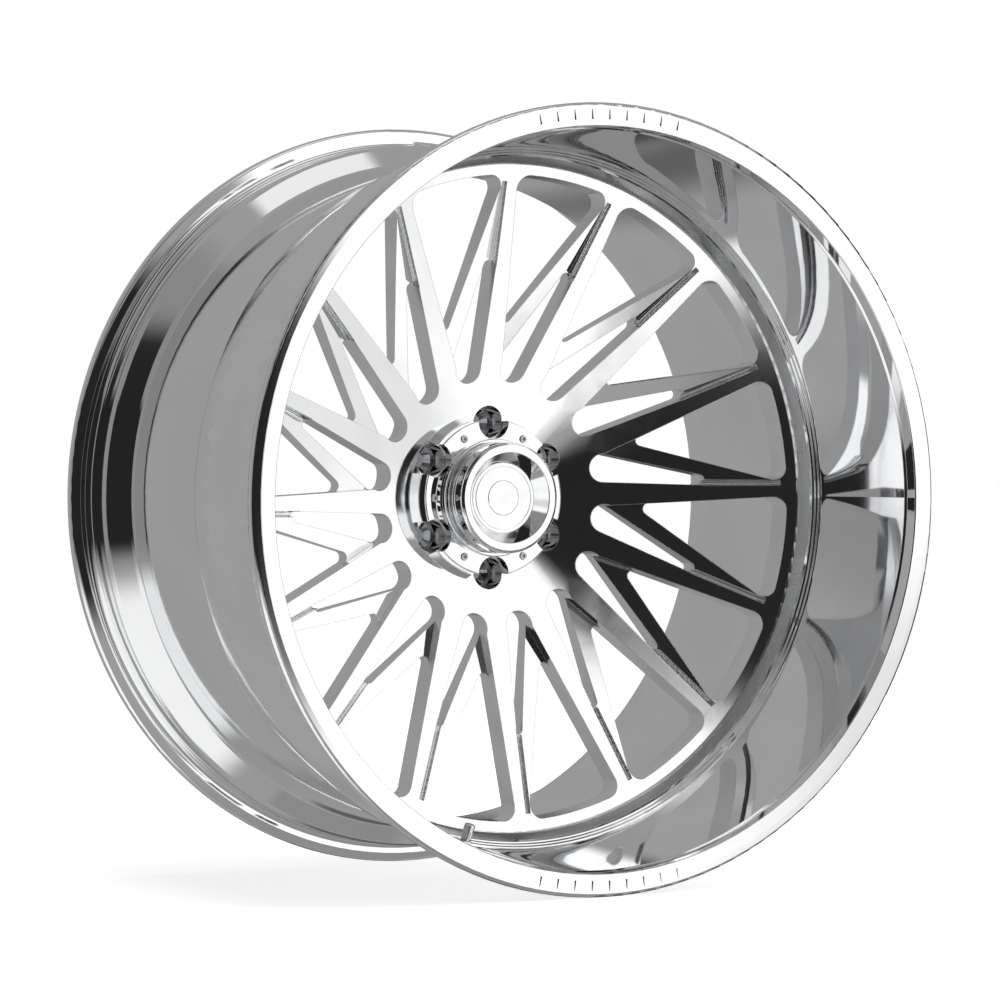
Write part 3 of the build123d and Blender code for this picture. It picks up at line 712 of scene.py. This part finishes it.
# ---- wheel ---------------------------------------------------------------------------
@dataclass
class ForgedCentre:
    """Forged centre: polished face and blades, milled walls and grooves, machined rear."""

    body: str = "wheel"
    face_slope: float = 0.2485
    face_inner: tuple[float, float] = (73.0, 24.3)
    pocket_reach: tuple[float, float] = (54.0, 85.8)
    blade_reach: tuple[float, float] = (100.0, 300.0)
    groove_reach: tuple[float, float] = (205.0, 300.0)
    wall_reach: tuple[float, float] = (98.0, 301.0)
    hub_back_y: float = 75.0

    def face_height(self, radius: float) -> float:
        """Height of the hollow face cone at a radius, in millimetres."""
        return self.face_inner[1] - self.face_slope * (radius - self.face_inner[0])

    def on_face(self, radius: float, height: float, normal: Vector) -> bool:
        """Whether a face lies on the main hollow cone."""
        return normal.y < -0.9 and abs(height - self.face_height(radius)) < 0.3

    def on_blade(self, radius: float, height: float, normal: Vector) -> bool:
        """Whether a face lies on a blade's lower cone."""
        return normal.y < -0.9 and self.blade_reach[0] < radius < self.blade_reach[1]

    def on_groove(self, radius: float, height: float, normal: Vector) -> bool:
        """Whether a face lies in the rounded floor of a flank groove."""
        low, high = self.groove_reach
        return -0.99 < normal.y < -0.05 and low < radius < high and height > self.face_height(radius) + 0.3

    def in_pocket(self, radius: float, height: float, normal: Vector) -> bool:
        """Whether a face lies in a stud pocket, seat or hole."""
        low, high = self.pocket_reach
        return low < radius < high and abs(normal.y) < 0.95 and height < self.hub_back_y

    def on_wall(self, radius: float, height: float, normal: Vector) -> bool:
        """Whether a face is a through wall of a window or slot."""
        return abs(normal.y) < 0.3 and self.wall_reach[0] < radius < self.wall_reach[1]

    def build(self, nodes: dict[str, bpy.types.Object]) -> list[bpy.types.Object]:
        """Builds the centre.

        Args:
            nodes: The frame's nodes.

        Returns:
            The pieces made.
        """
        zones = (
            Zone(FACE_POLISH, self.on_face),
            Zone(BLADE_POLISH, self.on_blade),
            Zone(GROOVE_MILLED, self.on_groove),
            Zone(POCKET_MACHINED, self.in_pocket),
            Zone(WALL_MILLED, self.on_wall),
            Zone(REAR_MACHINED, everywhere),
        )
        return [machined_copy(nodes["wheel_centre"], "forged_centre", self.body, zones)]


@dataclass
class RimBarrel:
    """Outer barrel: mirror lip and front wall, turned outside and rear bore."""

    body: str = "wheel"
    lip_edge_y: float = -177.8
    weld_top_y: float = -50.0
    bore_limit: float = 329.5

    def on_lip(self, radius: float, height: float, normal: Vector) -> bool:
        """Whether a face is on the lip's front or the front wall."""
        front_wall = radius < self.bore_limit and height < self.weld_top_y
        return height < self.lip_edge_y - 2.0 or front_wall

    def on_rear_lip(self, radius: float, height: float, normal: Vector) -> bool:
        """Whether a face is on the rear flange."""
        return height > -self.lip_edge_y - 1.0

    def build(self, nodes: dict[str, bpy.types.Object]) -> list[bpy.types.Object]:
        """Builds the barrel.

        Args:
            nodes: The frame's nodes.

        Returns:
            The pieces made.
        """
        zones = (
            Zone(LIP_MIRROR, self.on_lip),
            Zone(LIP_MIRROR, self.on_rear_lip),
            Zone(BARREL_TURNED, everywhere),
        )
        return [machined_copy(nodes["rim_barrel"], "outer_barrel", self.body, zones)]


@dataclass
class WeldBeads:
    """Front bead, turned smooth in steps, and the rippled fillet behind the centre."""

    body: str = "wheel"
    disc_radius: float = 313.0
    disc_front_y: float = -46.0
    wall_radius: float = 318.0
    top_y: float = -55.0
    well_radius: float = 305.0
    spigot_y: float = -6.0
    rear_leg: float = 7.0
    front_waver: float = 0.05
    rear_ripple: float = 0.22
    ripples: int = 300

    def front_outline(self) -> list[Corner]:
        """Section of the stepped front bead.

        Returns:
            Its corners.
        """
        wall, top = self.wall_radius, self.top_y
        return [
            (self.disc_radius - 1.7, self.disc_front_y, 0.0),
            (self.disc_radius, self.disc_front_y, 0.0),
            (wall, self.disc_front_y - 7.0, 0.0),
            (wall, top, 0.0),
            (wall - 1.3, top + 0.6, 0.5),
            (wall - 1.8, top + 2.8, 0.7),
            (wall - 3.4, top + 3.6, 0.5),
            (wall - 3.9, top + 5.8, 0.7),
            (wall - 5.5, top + 6.6, 0.5),
        ]

    def front(self) -> bpy.types.Object:
        """Front bead: steps that waver a little where the weld was dressed by hand.

        Returns:
            The bead.
        """
        bm = turned(self.front_outline(), WHEEL_AXIS, steps=480, segments=3)
        for vert in bm.verts:
            radius = math.hypot(vert.co.x, vert.co.z)
            if radius > (self.wall_radius - 0.1) * MM or vert.co.y > (self.disc_front_y - 0.2) * MM:
                continue
            turn = math.atan2(vert.co.z, vert.co.x)
            waver = math.sin(37 * turn) + 0.6 * math.sin(91 * turn + 1.3) + 0.4 * math.sin(173 * turn + 0.4)
            vert.co.y += self.front_waver * MM * waver / 2
        return finished_object(
            bm, "front_bead", self.body, WELD_DRESSED, ["front_weld_bead"], sharp_angle=60.0
        )

    def rear(self) -> bpy.types.Object:
        """Rear fillet: overlapping ripples of a hand-laid weld.

        Returns:
            The bead.
        """
        bore, y, leg = self.well_radius, self.spigot_y, self.rear_leg
        outline = [
            (bore, y, 0.0),
            (bore - leg, y, 0.0),
            (bore - leg * 0.55, y + leg * 0.45, 0.0),
            (bore, y + leg, 0.0),
        ]
        bm = turned(outline, WHEEL_AXIS, steps=self.ripples * 4)
        for vert in bm.verts:
            radius = math.hypot(vert.co.x, vert.co.z)
            if radius > (bore - 0.3) * MM or vert.co.y < (y + 0.3) * MM:
                continue
            turn = math.atan2(vert.co.z, vert.co.x)
            lift = abs(math.sin(turn * self.ripples / 2)) - 1.0
            outward = Vector((vert.co.x, 0.0, vert.co.z)).normalized() - Vector((0.0, 1.0, 0.0))
            vert.co += outward * (-lift * self.rear_ripple * MM)
        return finished_object(
            bm, "rear_bead", self.body, WELD_RAW, ["rear_weld_bead"], sharp_angle=70.0
        )

    def build(self) -> list[bpy.types.Object]:
        """Builds both beads."""
        return [self.front(), self.rear()]


# ---- centre cap ----------------------------------------------------------------------
@dataclass
class CentreCap:
    """Bolt-on cap: scalloped collar, turned head with its disc, pad and seal; its screws are built by
    CapScrews.
    """

    body: str = "centre_cap"
    neck_radius: float = 45.4
    head_radius: float = 51.1
    head_top_y: float = -17.7
    head_depth: float = 13.0
    dish_radius: float = 41.8
    disc_radius: float = 32.4
    disc_y: float = -5.1
    disc_thickness: float = 2.5
    pad_thickness: float = 0.8
    wall: float = 3.2
    ring_radius: float = 1.5
    ring_middle: tuple[float, float] = (40.46, 34.3)
    steps: int = 240

    def head(self) -> bpy.types.Object:
        """Mushroom head with its rounded bezel and conical dish wall.

        Returns:
            The head.
        """
        neck_top = self.head_top_y + self.head_depth
        floor = self.disc_y + self.disc_thickness + self.pad_thickness
        skirt = neck_top + 3.0
        inner = self.neck_radius - self.wall - 4.1
        outline = [
            (self.neck_radius + 0.05, skirt, 0.3),
            (self.head_radius - 2.5, skirt, 1.0),
            (self.head_radius, skirt - 4.0, 3.0),
            (self.head_radius, self.head_top_y + 2.0, 2.0),
            (self.head_radius - 3.0, self.head_top_y, 2.5),
            (self.dish_radius, self.head_top_y, 1.2),
            (self.disc_radius + 0.1, self.disc_y, 0.0),
            (self.disc_radius + 0.1, floor, 0.0),
            (0.0, floor, 0.0),
            (0.0, floor + self.wall, 0.0),
            (inner, floor + self.wall, 0.0),
            (inner, neck_top, 0.0),
            (self.neck_radius + 0.05, neck_top, 0.0),
        ]
        bm = turned(outline, WHEEL_AXIS, steps=self.steps, segments=6)
        return finished_object(bm, "cap_bezel_head", self.body, CHROME, ["cap_head"])

    def disc(self) -> bpy.types.Object:
        """Plain satin disc with a raised middle and a fine ring near its edge.

        Returns:
            The disc.
        """
        edge, y, rise = self.disc_radius, self.disc_y, 0.4
        outline = [
            (0.0, y + self.disc_thickness, 0.0),
            (edge, y + self.disc_thickness, 0.0),
            (edge, y, 0.4),
            (edge - 3.0, y, 0.0),
            (edge - 3.4, y + 0.5, 0.0),
            (edge - 3.8, y, 0.0),
            (edge / 2, y, 0.0),
            (edge / 2 - 0.6, y - rise, 0.0),
            (0.0, y - rise, 0.0),
        ]
        bm = turned(outline, WHEEL_AXIS, steps=self.steps, segments=4)
        return finished_object(
            bm, "cap_plain_disc", self.body, DISC_SATIN, ["cap_disc"], sharp_angle=20.0
        )

    def pad(self) -> bpy.types.Object:
        """Foam pad under the disc, its edge pulled in a little by the squeeze.

        Returns:
            The pad.
        """
        back = self.disc_y + self.disc_thickness
        outline = [
            (0.0, back, 0.0),
            (self.disc_radius - 2.0, back, 0.0),
            (self.disc_radius - 2.25, back + self.pad_thickness / 2, 0.0),
            (self.disc_radius - 2.0, back + self.pad_thickness, 0.0),
            (0.0, back + self.pad_thickness, 0.0),
        ]
        bm = turned(outline, WHEEL_AXIS, steps=96)
        return finished_object(bm, "cap_foam_pad", self.body, FOAM, ["cap_disc_pad"])

    def ring(self) -> bpy.types.Object:
        """Rubber ring in the spigot's groove.

        Returns:
            The ring.
        """
        radius, y = self.ring_middle
        size = self.ring_radius
        outline = [
            (radius - size, y - size, size),
            (radius + size, y - size, size),
            (radius + size, y + size, size),
            (radius - size, y + size, size),
        ]
        bm = turned(outline, WHEEL_AXIS, steps=160, segments=5)
        return finished_object(
            bm, "cap_seal_ring", self.body, RUBBER, ["cap_o_ring"], sharp_angle=80.0
        )

    def build(self, nodes: dict[str, bpy.types.Object]) -> list[bpy.types.Object]:
        """Builds the cap.

        Args:
            nodes: The frame's nodes.

        Returns:
            The pieces made.
        """
        collar = machined_copy(
            nodes["cap_base"], "cap_collar", self.body,
            (Zone(CHROME, everywhere),),
        )
        return [collar, self.head(), self.disc(), self.pad(), self.ring()]


@dataclass
class CapScrews:
    """Six socket-head screws, each with a plain head, a hexagon socket and a plain shank."""

    body: str = "centre_cap"
    count: int = 6
    circle_radius: float = 62.4
    head_top_y: float = 11.2
    head_height: float = 4.0
    head_radius: float = 3.5
    rim_round: float = 0.5
    socket_flats: float = 3.0
    socket_depth: float = 2.1
    shank_radius: float = 2.0
    shank_end_y: float = 32.3
    tip: float = 0.5
    around: int = 48

    def set_loop(self, verts: Sequence[bmesh.types.BMVert], radius: float, y: float, hexagon: bool) -> None:
        """Puts a loop of corners at its place round the first screw's axis.

        Args:
            verts: The corners.
            radius: Distance of a circle, or of a hexagon's flats, from the axis in millimetres.
            y: Height along the wheel's axis in millimetres.
            hexagon: Whether the corners lie on a hexagon.
        """
        sector = math.tau / 6
        for vert in verts:
            turn = math.atan2(vert.co.z, vert.co.x - self.circle_radius * MM)
            reach = radius / math.cos(turn % sector - sector / 2) if hexagon else radius
            vert.co = Vector((self.circle_radius + reach * math.cos(turn), y, reach * math.sin(turn))) * MM

    def one(self, bm: bmesh.types.BMesh) -> None:
        """Adds the first screw, a chain of loops from the socket's floor to the shank's end.

        Args:
            bm: The bmesh.
        """
        top, floor = self.head_top_y, self.head_top_y + self.head_height
        socket = self.socket_flats / 2
        turn = self.rim_round * (1.0 - math.sqrt(0.5))
        chain = [
            (socket, top + self.socket_depth, True),
            (socket, top + 0.25, True),
            (socket + 0.45, top, False),
            (self.head_radius - self.rim_round, top, False),
            (self.head_radius - turn, top + turn, False),
            (self.head_radius, top + self.rim_round, False),
            (self.head_radius, floor, False),
            (self.shank_radius, floor, False),
            (self.shank_radius, self.shank_end_y - self.tip, False),
            (self.shank_radius - self.tip, self.shank_end_y, False),
        ]
        place = Matrix.Translation((self.circle_radius * MM, 0.0, 0.0)) @ Matrix.Rotation(math.pi / 2, 4, "X")
        verts = bmesh.ops.create_circle(bm, segments=self.around, radius=MM, matrix=place)["verts"]
        self.set_loop(verts, *chain[0])
        edges = list({edge for vert in verts for edge in vert.link_edges})
        bmesh.ops.edgeloop_fill(bm, edges=edges)
        for radius, y, hexagon in chain[1:]:
            out = bmesh.ops.extrude_edge_only(bm, edges=edges)["geom"]
            verts = [elem for elem in out if isinstance(elem, bmesh.types.BMVert)]
            near = set(verts)
            edges = [
                elem for elem in out if isinstance(elem, bmesh.types.BMEdge) and near.issuperset(elem.verts)
            ]
            self.set_loop(verts, radius, y, hexagon)
        bmesh.ops.edgeloop_fill(bm, edges=edges)

    def build(self) -> bpy.types.Object:
        """Builds the six screws as one piece.

        Returns:
            The piece.
        """
        bm = bmesh.new()
        self.one(bm)
        first = bm.verts[:] + bm.edges[:] + bm.faces[:]
        for k in range(1, self.count):
            copy = bmesh.ops.duplicate(bm, geom=first)
            verts = [elem for elem in copy["geom"] if isinstance(elem, bmesh.types.BMVert)]
            turn = Matrix.Rotation(math.tau * k / self.count, 3, "Y")
            bmesh.ops.rotate(bm, verts=verts, cent=(0.0, 0.0, 0.0), matrix=turn)
        return finished_object(
            bm, "cap_socket_screws", self.body, STAINLESS, ["cap_screws"], sharp_angle=28.0
        )


# ---- valve ---------------------------------------------------------------------------
@dataclass
class TyreValve:
    """Clamp-in valve, built upright on its own seat and then set in the wall."""

    body: str = "wheel"
    seat: Vector = field(default_factory=lambda: Vector((-77.752491, -67.485385, -311.848209)))
    way: Vector = field(default_factory=lambda: Vector((0.236635322, -0.207911691, 0.949092437)))
    bearing: float = 256.0
    grip: float = 5.4
    hole_radius: float = 5.75
    stem_radius: float = 4.4
    tip_radius: float = 3.85
    stem_length: float = 18.0
    tip_length: float = 10.5
    bore_radius: float = 1.8
    core_bore: float = 2.7
    core_depth: float = 13.5
    head_radius: float = 8.0
    head_height: float = 3.0
    grommet_height: float = 2.5
    grommet_radius: float = 8.6
    washer_radius: float = 8.2
    washer_thickness: float = 1.2
    thread_pitch: float = 0.79
    thread_depth: float = 0.35
    thread_gap: float = 0.06
    spring_radius: float = 1.85
    spring_wire: float = 0.22
    spring_pitch: float = 0.95
    spring_span: tuple[float, float] = (4.77, 9.03)
    coil_steps: int = 28

    def placed(self) -> Matrix:
        """Matrix that sets the upright valve in the wall.

        Returns:
            The matrix, in metres.
        """
        round_wheel = math.radians(self.bearing)
        across = Vector((-math.sin(round_wheel), 0.0, math.cos(round_wheel)))
        ahead = self.way.cross(across)
        turn = Matrix((across, ahead, self.way)).transposed().to_4x4()
        return Matrix.Translation(self.seat * MM) @ turn

    def seated(
        self, bm: bmesh.types.BMesh, name: str, finish: Finish, node: str,
        sharp_angle: float = 32.0,
    ) -> bpy.types.Object:
        """Sets an upright shape in the wall and finishes it.

        Args:
            bm: The shape, which is freed.
            name: The piece's name.
            finish: Its finish.
            node: The frame node that it replaces.
            sharp_angle: Edges sharper than this, in degrees, stay crisp.

        Returns:
            The piece.
        """
        bmesh.ops.transform(bm, matrix=self.placed(), verts=bm.verts[:])
        return finished_object(bm, name, self.body, finish, [node], sharp_angle)

    def helix(
        self, bm: bmesh.types.BMesh, section: Sequence[tuple[float, float]], pitch: float,
        span: tuple[float, float],
    ) -> None:
        """Adds a closed helical coil of a given section to a bmesh.

        Args:
            bm: The bmesh.
            section: Corners as radius and height above the coil's line, in millimetres.
            pitch: Rise of each turn in millimetres.
            span: Lowest and highest height of the coil's line in millimetres.
        """
        rounds = (span[1] - span[0]) / pitch
        steps = max(8, round(rounds * self.coil_steps))
        verts = [bm.verts.new(VALVE_AXIS.at(radius, span[0] + height)) for radius, height in section]
        start = bm.faces.new(verts)
        bmesh.ops.spin(
            bm, geom=[start, *start.edges, *verts], cent=(0.0, 0.0, 0.0), axis=VALVE_AXIS.direction,
            angle=math.tau * rounds, steps=steps, use_duplicate=False,
            dvec=VALVE_AXIS.direction * ((span[1] - span[0]) * MM / steps),
        )

    def stem(self) -> bpy.types.Object:
        """Brass stem with a chamfered tip and cut threads on shank and tip.

        Returns:
            The stem.
        """
        head_low = -self.grip - self.grommet_height - self.head_height
        shank_low = -self.grip - self.grommet_height
        tip_low = self.stem_length - self.tip_length
        shank, tip = self.stem_radius - self.thread_depth, self.tip_radius - self.thread_depth
        outline = [
            (self.bore_radius, head_low, 0.0),
            (self.head_radius, head_low, 0.8),
            (self.head_radius, shank_low, 0.5),
            (self.stem_radius, shank_low, 0.0),
            (self.stem_radius, 0.4, 0.0),
            (shank, 0.8, 0.0),
            (shank, tip_low, 0.0),
            (tip, tip_low + 0.2, 0.0),
            (tip, self.stem_length - 0.5, 0.0),
            (tip - 0.4, self.stem_length, 0.0),
            (self.core_bore, self.stem_length, 0.2),
            (self.core_bore, self.stem_length - self.core_depth, 0.0),
            (self.bore_radius, self.stem_length - self.core_depth, 0.0),
        ]
        bm = turned(outline, VALVE_AXIS, steps=64, segments=3)
        for root, top, span in (
            (shank, self.stem_radius, (1.4, tip_low - 0.5)),
            (tip, self.tip_radius, (tip_low + 0.7, self.stem_length - 1.0)),
        ):
            ridge = self.thread_pitch * 0.42
            section = [(root - 0.1, -ridge), (top, -0.05), (top, 0.05), (root - 0.1, ridge)]
            self.helix(bm, section, self.thread_pitch, span)
        return self.seated(bm, "valve_threaded_stem", CHROME_BRASS, "valve_stem")

    def grommet(self) -> bpy.types.Object:
        """Rubber grommet, bulged where the head squeezes it, with its sleeve in the hole.

        Returns:
            The grommet.
        """
        bore = self.stem_radius + 0.05
        outline = [
            (bore, -self.grip - self.grommet_height, 0.0),
            (self.grommet_radius, -self.grip - self.grommet_height, 0.9),
            (self.grommet_radius, -self.grip, 0.6),
            (self.hole_radius - 0.05, -self.grip, 0.0),
            (self.hole_radius - 0.05, -1.0, 0.0),
            (bore, -1.0, 0.0),
        ]
        bm = turned(outline, VALVE_AXIS, steps=64, segments=4)
        return self.seated(bm, "valve_rubber_grommet", RUBBER, "valve_grommet")

    def washer(self) -> bpy.types.Object:
        """Stamped washer with one rounded edge.

        Returns:
            The washer.
        """
        bore = self.stem_radius + self.thread_gap
        outline = [
            (bore, 0.0, 0.0),
            (self.washer_radius, 0.0, 0.15),
            (self.washer_radius, self.washer_thickness, 0.4),
            (bore, self.washer_thickness, 0.2),
        ]
        bm = turned(outline, VALVE_AXIS, steps=64, segments=3)
        return self.seated(bm, "valve_flat_washer", CHROME_BRASS, "valve_washer")

    def spring(self) -> bpy.types.Object:
        """Coil spring round the pin.

        Returns:
            The spring.
        """
        bm = bmesh.new()
        wire = self.spring_wire
        section = [
            (self.spring_radius + wire * math.cos(math.tau * k / 10), wire * math.sin(math.tau * k / 10))
            for k in range(10)
        ]
        self.helix(bm, section, self.spring_pitch, self.spring_span)
        return self.seated(bm, "valve_coil_spring", SPRING_STEEL, "valve_spring", 70.0)

    def build(self) -> list[bpy.types.Object]:
        """Builds the stem, grommet, washer and spring."""
        return [self.stem(), self.grommet(), self.washer(), self.spring()]


# ---- studio --------------------------------------------------------------------------
@dataclass(frozen=True)
class Panel:
    """Soft-edged patch of the room, in degrees round the wheel and above its axis."""

    turn: tuple[float, float]
    rise: tuple[float, float]
    soft: float
    level: float
    lean: float = 0.0

    def mask(
        self, graph: Graph, turn: bpy.types.NodeSocket, rise: bpy.types.NodeSocket,
    ) -> bpy.types.NodeSocket:
        """Mask of the patch, 1 inside and 0 outside.

        Args:
            graph: The room's graph.
            turn: Direction round the wheel in degrees, 0 in front and positive to the right.
            rise: Direction above the axis in degrees.

        Returns:
            The mask.
        """
        half = self.soft / 2
        leaned = graph.math("MULTIPLY_ADD", rise, -self.lean, turn)
        bands = [
            graph.math(
                "MULTIPLY",
                graph.remap(value, low - half, low + half, 0.0, 1.0),
                graph.remap(value, high - half, high + half, 1.0, 0.0),
            )
            for value, (low, high) in ((leaned, self.turn), (rise, self.rise))
        ]
        return graph.math("MULTIPLY", *bands)


ROOM_LEVEL = 0.35
ROOM_PANELS = (
    Panel(turn=(-140.0, -40.0), rise=(-14.0, 62.0), soft=10.0, level=0.27),
    Panel(turn=(-12.0, 78.0), rise=(-95.0, -31.0), soft=8.0, level=0.28),
    Panel(turn=(128.0, 166.0), rise=(-72.0, -22.0), soft=14.0, level=0.12),
    Panel(turn=(12.0, 73.0), rise=(-30.0, 44.0), soft=5.0, level=1.16),
    Panel(turn=(76.0, 152.0), rise=(-24.0, 24.0), soft=6.0, level=0.04),
    Panel(turn=(40.0, 84.0), rise=(-19.0, -4.0), soft=10.0, level=0.84),
    Panel(turn=(-132.0, -32.0), rise=(-64.0, -20.0), soft=9.0, level=1.0),
    Panel(turn=(-22.0, 62.0), rise=(61.0, 84.0), soft=8.0, level=0.92),
    Panel(turn=(-87.0, -60.0), rise=(18.0, 54.0), soft=6.0, level=0.02, lean=0.95),
    Panel(turn=(-98.0, 11.0), rise=(-13.0, 23.0), soft=6.0, level=0.018, lean=0.12),
)


@dataclass
class Studio:
    """Pale floor, soft room with one black side, soft lamps and the camera."""

    camera_at: Vector = field(default_factory=lambda: Vector((-1.922, -3.345, 0.052)))
    camera_way: Vector = field(default_factory=lambda: Vector((0.498, 0.867, -0.014)))
    lens: float = 151.0
    sensor: float = 36.0
    floor_z: float = -0.3503
    floor_radius: float = 30.0
    floor_glow: float = 0.67

    def build(self) -> None:
        """Builds the floor, the surroundings, the lamps and the camera."""
        self.floor()
        self.surroundings()
        self.lamps()
        self.camera()

    def floor(self) -> None:
        """Round pale floor under the wheel."""
        bm = bmesh.new()
        bmesh.ops.create_circle(bm, cap_ends=True, segments=96, radius=self.floor_radius)
        bmesh.ops.translate(bm, verts=bm.verts[:], vec=(0.0, 0.0, self.floor_z))
        mesh = bpy.data.meshes.new("studio_floor")
        bm.to_mesh(mesh)
        bm.free()
        made = linked("studio_floor", mesh)
        pale, graph, shader = shaded("pale_floor")
        tint = graph.tint(graph.noise(graph.place(), 3.0, 4.0), (0.97, 0.97, 0.97), (0.94, 0.94, 0.94))
        graph.feed(shader.inputs["Base Color"], tint)
        graph.feed(shader.inputs["Emission Color"], tint)
        shader.inputs["Emission Strength"].default_value = self.floor_glow
        shader.inputs["Roughness"].default_value = 0.9
        shader.inputs["Specular IOR Level"].default_value = 0.0
        mesh.materials.append(pale)
        made.visible_glossy = False

    def surroundings(self) -> None:
        """Grey room with white panels and one black side for the polished metal to pick up."""
        world = bpy.data.worlds.new("studio_room")
        bpy.context.scene.world = world
        world.use_nodes = True
        graph = Graph(world.node_tree)
        world.node_tree.nodes.clear()
        way = graph.node("ShaderNodeTexCoord").outputs["Generated"]
        x, y, z = graph.split(way)
        turn = graph.math("DEGREES", graph.math("ARCTAN2", x, graph.math("MULTIPLY", y, -1.0)))
        rise = graph.math("DEGREES", graph.math("ARCSINE", z))
        level: Feed = ROOM_LEVEL
        for panel in ROOM_PANELS:
            mix = graph.node("ShaderNodeMix", data_type="FLOAT")
            graph.feed(mix.inputs[0], panel.mask(graph, turn, rise))
            graph.feed(mix.inputs[2], level)
            graph.feed(mix.inputs[3], panel.level)
            level = mix.outputs[0]
        seen = graph.node("ShaderNodeBackground")
        lit = graph.node("ShaderNodeBackground")
        graph.feed(lit.inputs["Strength"], level)
        path = graph.node("ShaderNodeLightPath")
        mixed = graph.node("ShaderNodeMixShader")
        graph.feed(mixed.inputs[0], path.outputs["Is Camera Ray"])
        graph.feed(mixed.inputs[1], lit.outputs[0])
        graph.feed(mixed.inputs[2], seen.outputs[0])
        for light in (seen, lit):
            light.inputs["Color"].default_value = (1.0, 1.0, 1.0, 1.0)
        put = graph.node("ShaderNodeOutputWorld")
        graph.feed(put.inputs["Surface"], mixed.outputs[0])

    def lamps(self) -> None:
        """Two large soft lamps, above and to the right."""
        for name, at, size, power in (
            ("overhead_softbox", (0.3, -0.6, 2.6), 2.4, 45.0),
            ("side_softbox", (2.6, -1.6, 0.6), 1.8, 30.0),
        ):
            light = bpy.data.lights.new(name, "AREA")
            light.shape = "DISK"
            light.size = size
            light.energy = power
            lamp = linked(name, light)
            lamp.visible_glossy = False
            lamp.visible_camera = False
            aim(lamp, Vector(at), -Vector(at))

    def camera(self) -> None:
        """Camera in front of the wheel, to its left, at hub height."""
        data = bpy.data.cameras.new("studio_camera")
        data.lens = self.lens
        data.sensor_width = self.sensor
        data.clip_end = 100.0
        made = linked("studio_camera", data)
        aim(made, self.camera_at, self.camera_way)
        bpy.context.scene.camera = made
        bpy.context.scene.view_settings.view_transform = "Standard"


NODE_FINISHES: dict[str, Finish] = {
    "valve_nut": CHROME_BRASS,
    "valve_core_body": BRASS,
    "valve_core_gasket": SEAL_PLASTIC,
    "valve_pin": BRASS,
    "valve_pin_seal": RUBBER,
    "valve_cap": CHROME_BRASS,
    "valve_cap_seal": RUBBER,
}


def dress_nodes(nodes: dict[str, bpy.types.Object]) -> None:
    """Gives every carried-over frame node its finish.

    Args:
        nodes: The frame's nodes.
    """
    for name, finish in NODE_FINISHES.items():
        for place in nodes[name].material_slots:
            place.material = finish.build()
        LOG.info("%s: dressed in %s", name, finish.name)


def main(frame: dict) -> None:
    """Builds the wheel's pieces and the studio round the frame.
    """
    logging.basicConfig(level=logging.INFO, format="%(name)s: %(message)s")
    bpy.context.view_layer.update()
    nodes = frame["nodes"]
    dress_nodes(nodes)
    ForgedCentre().build(nodes)
    RimBarrel().build(nodes)
    WeldBeads().build()
    CentreCap().build(nodes)
    CapScrews().build()
    TyreValve().build()
    Studio().build()


if __name__ == "__main__":
    main(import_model())
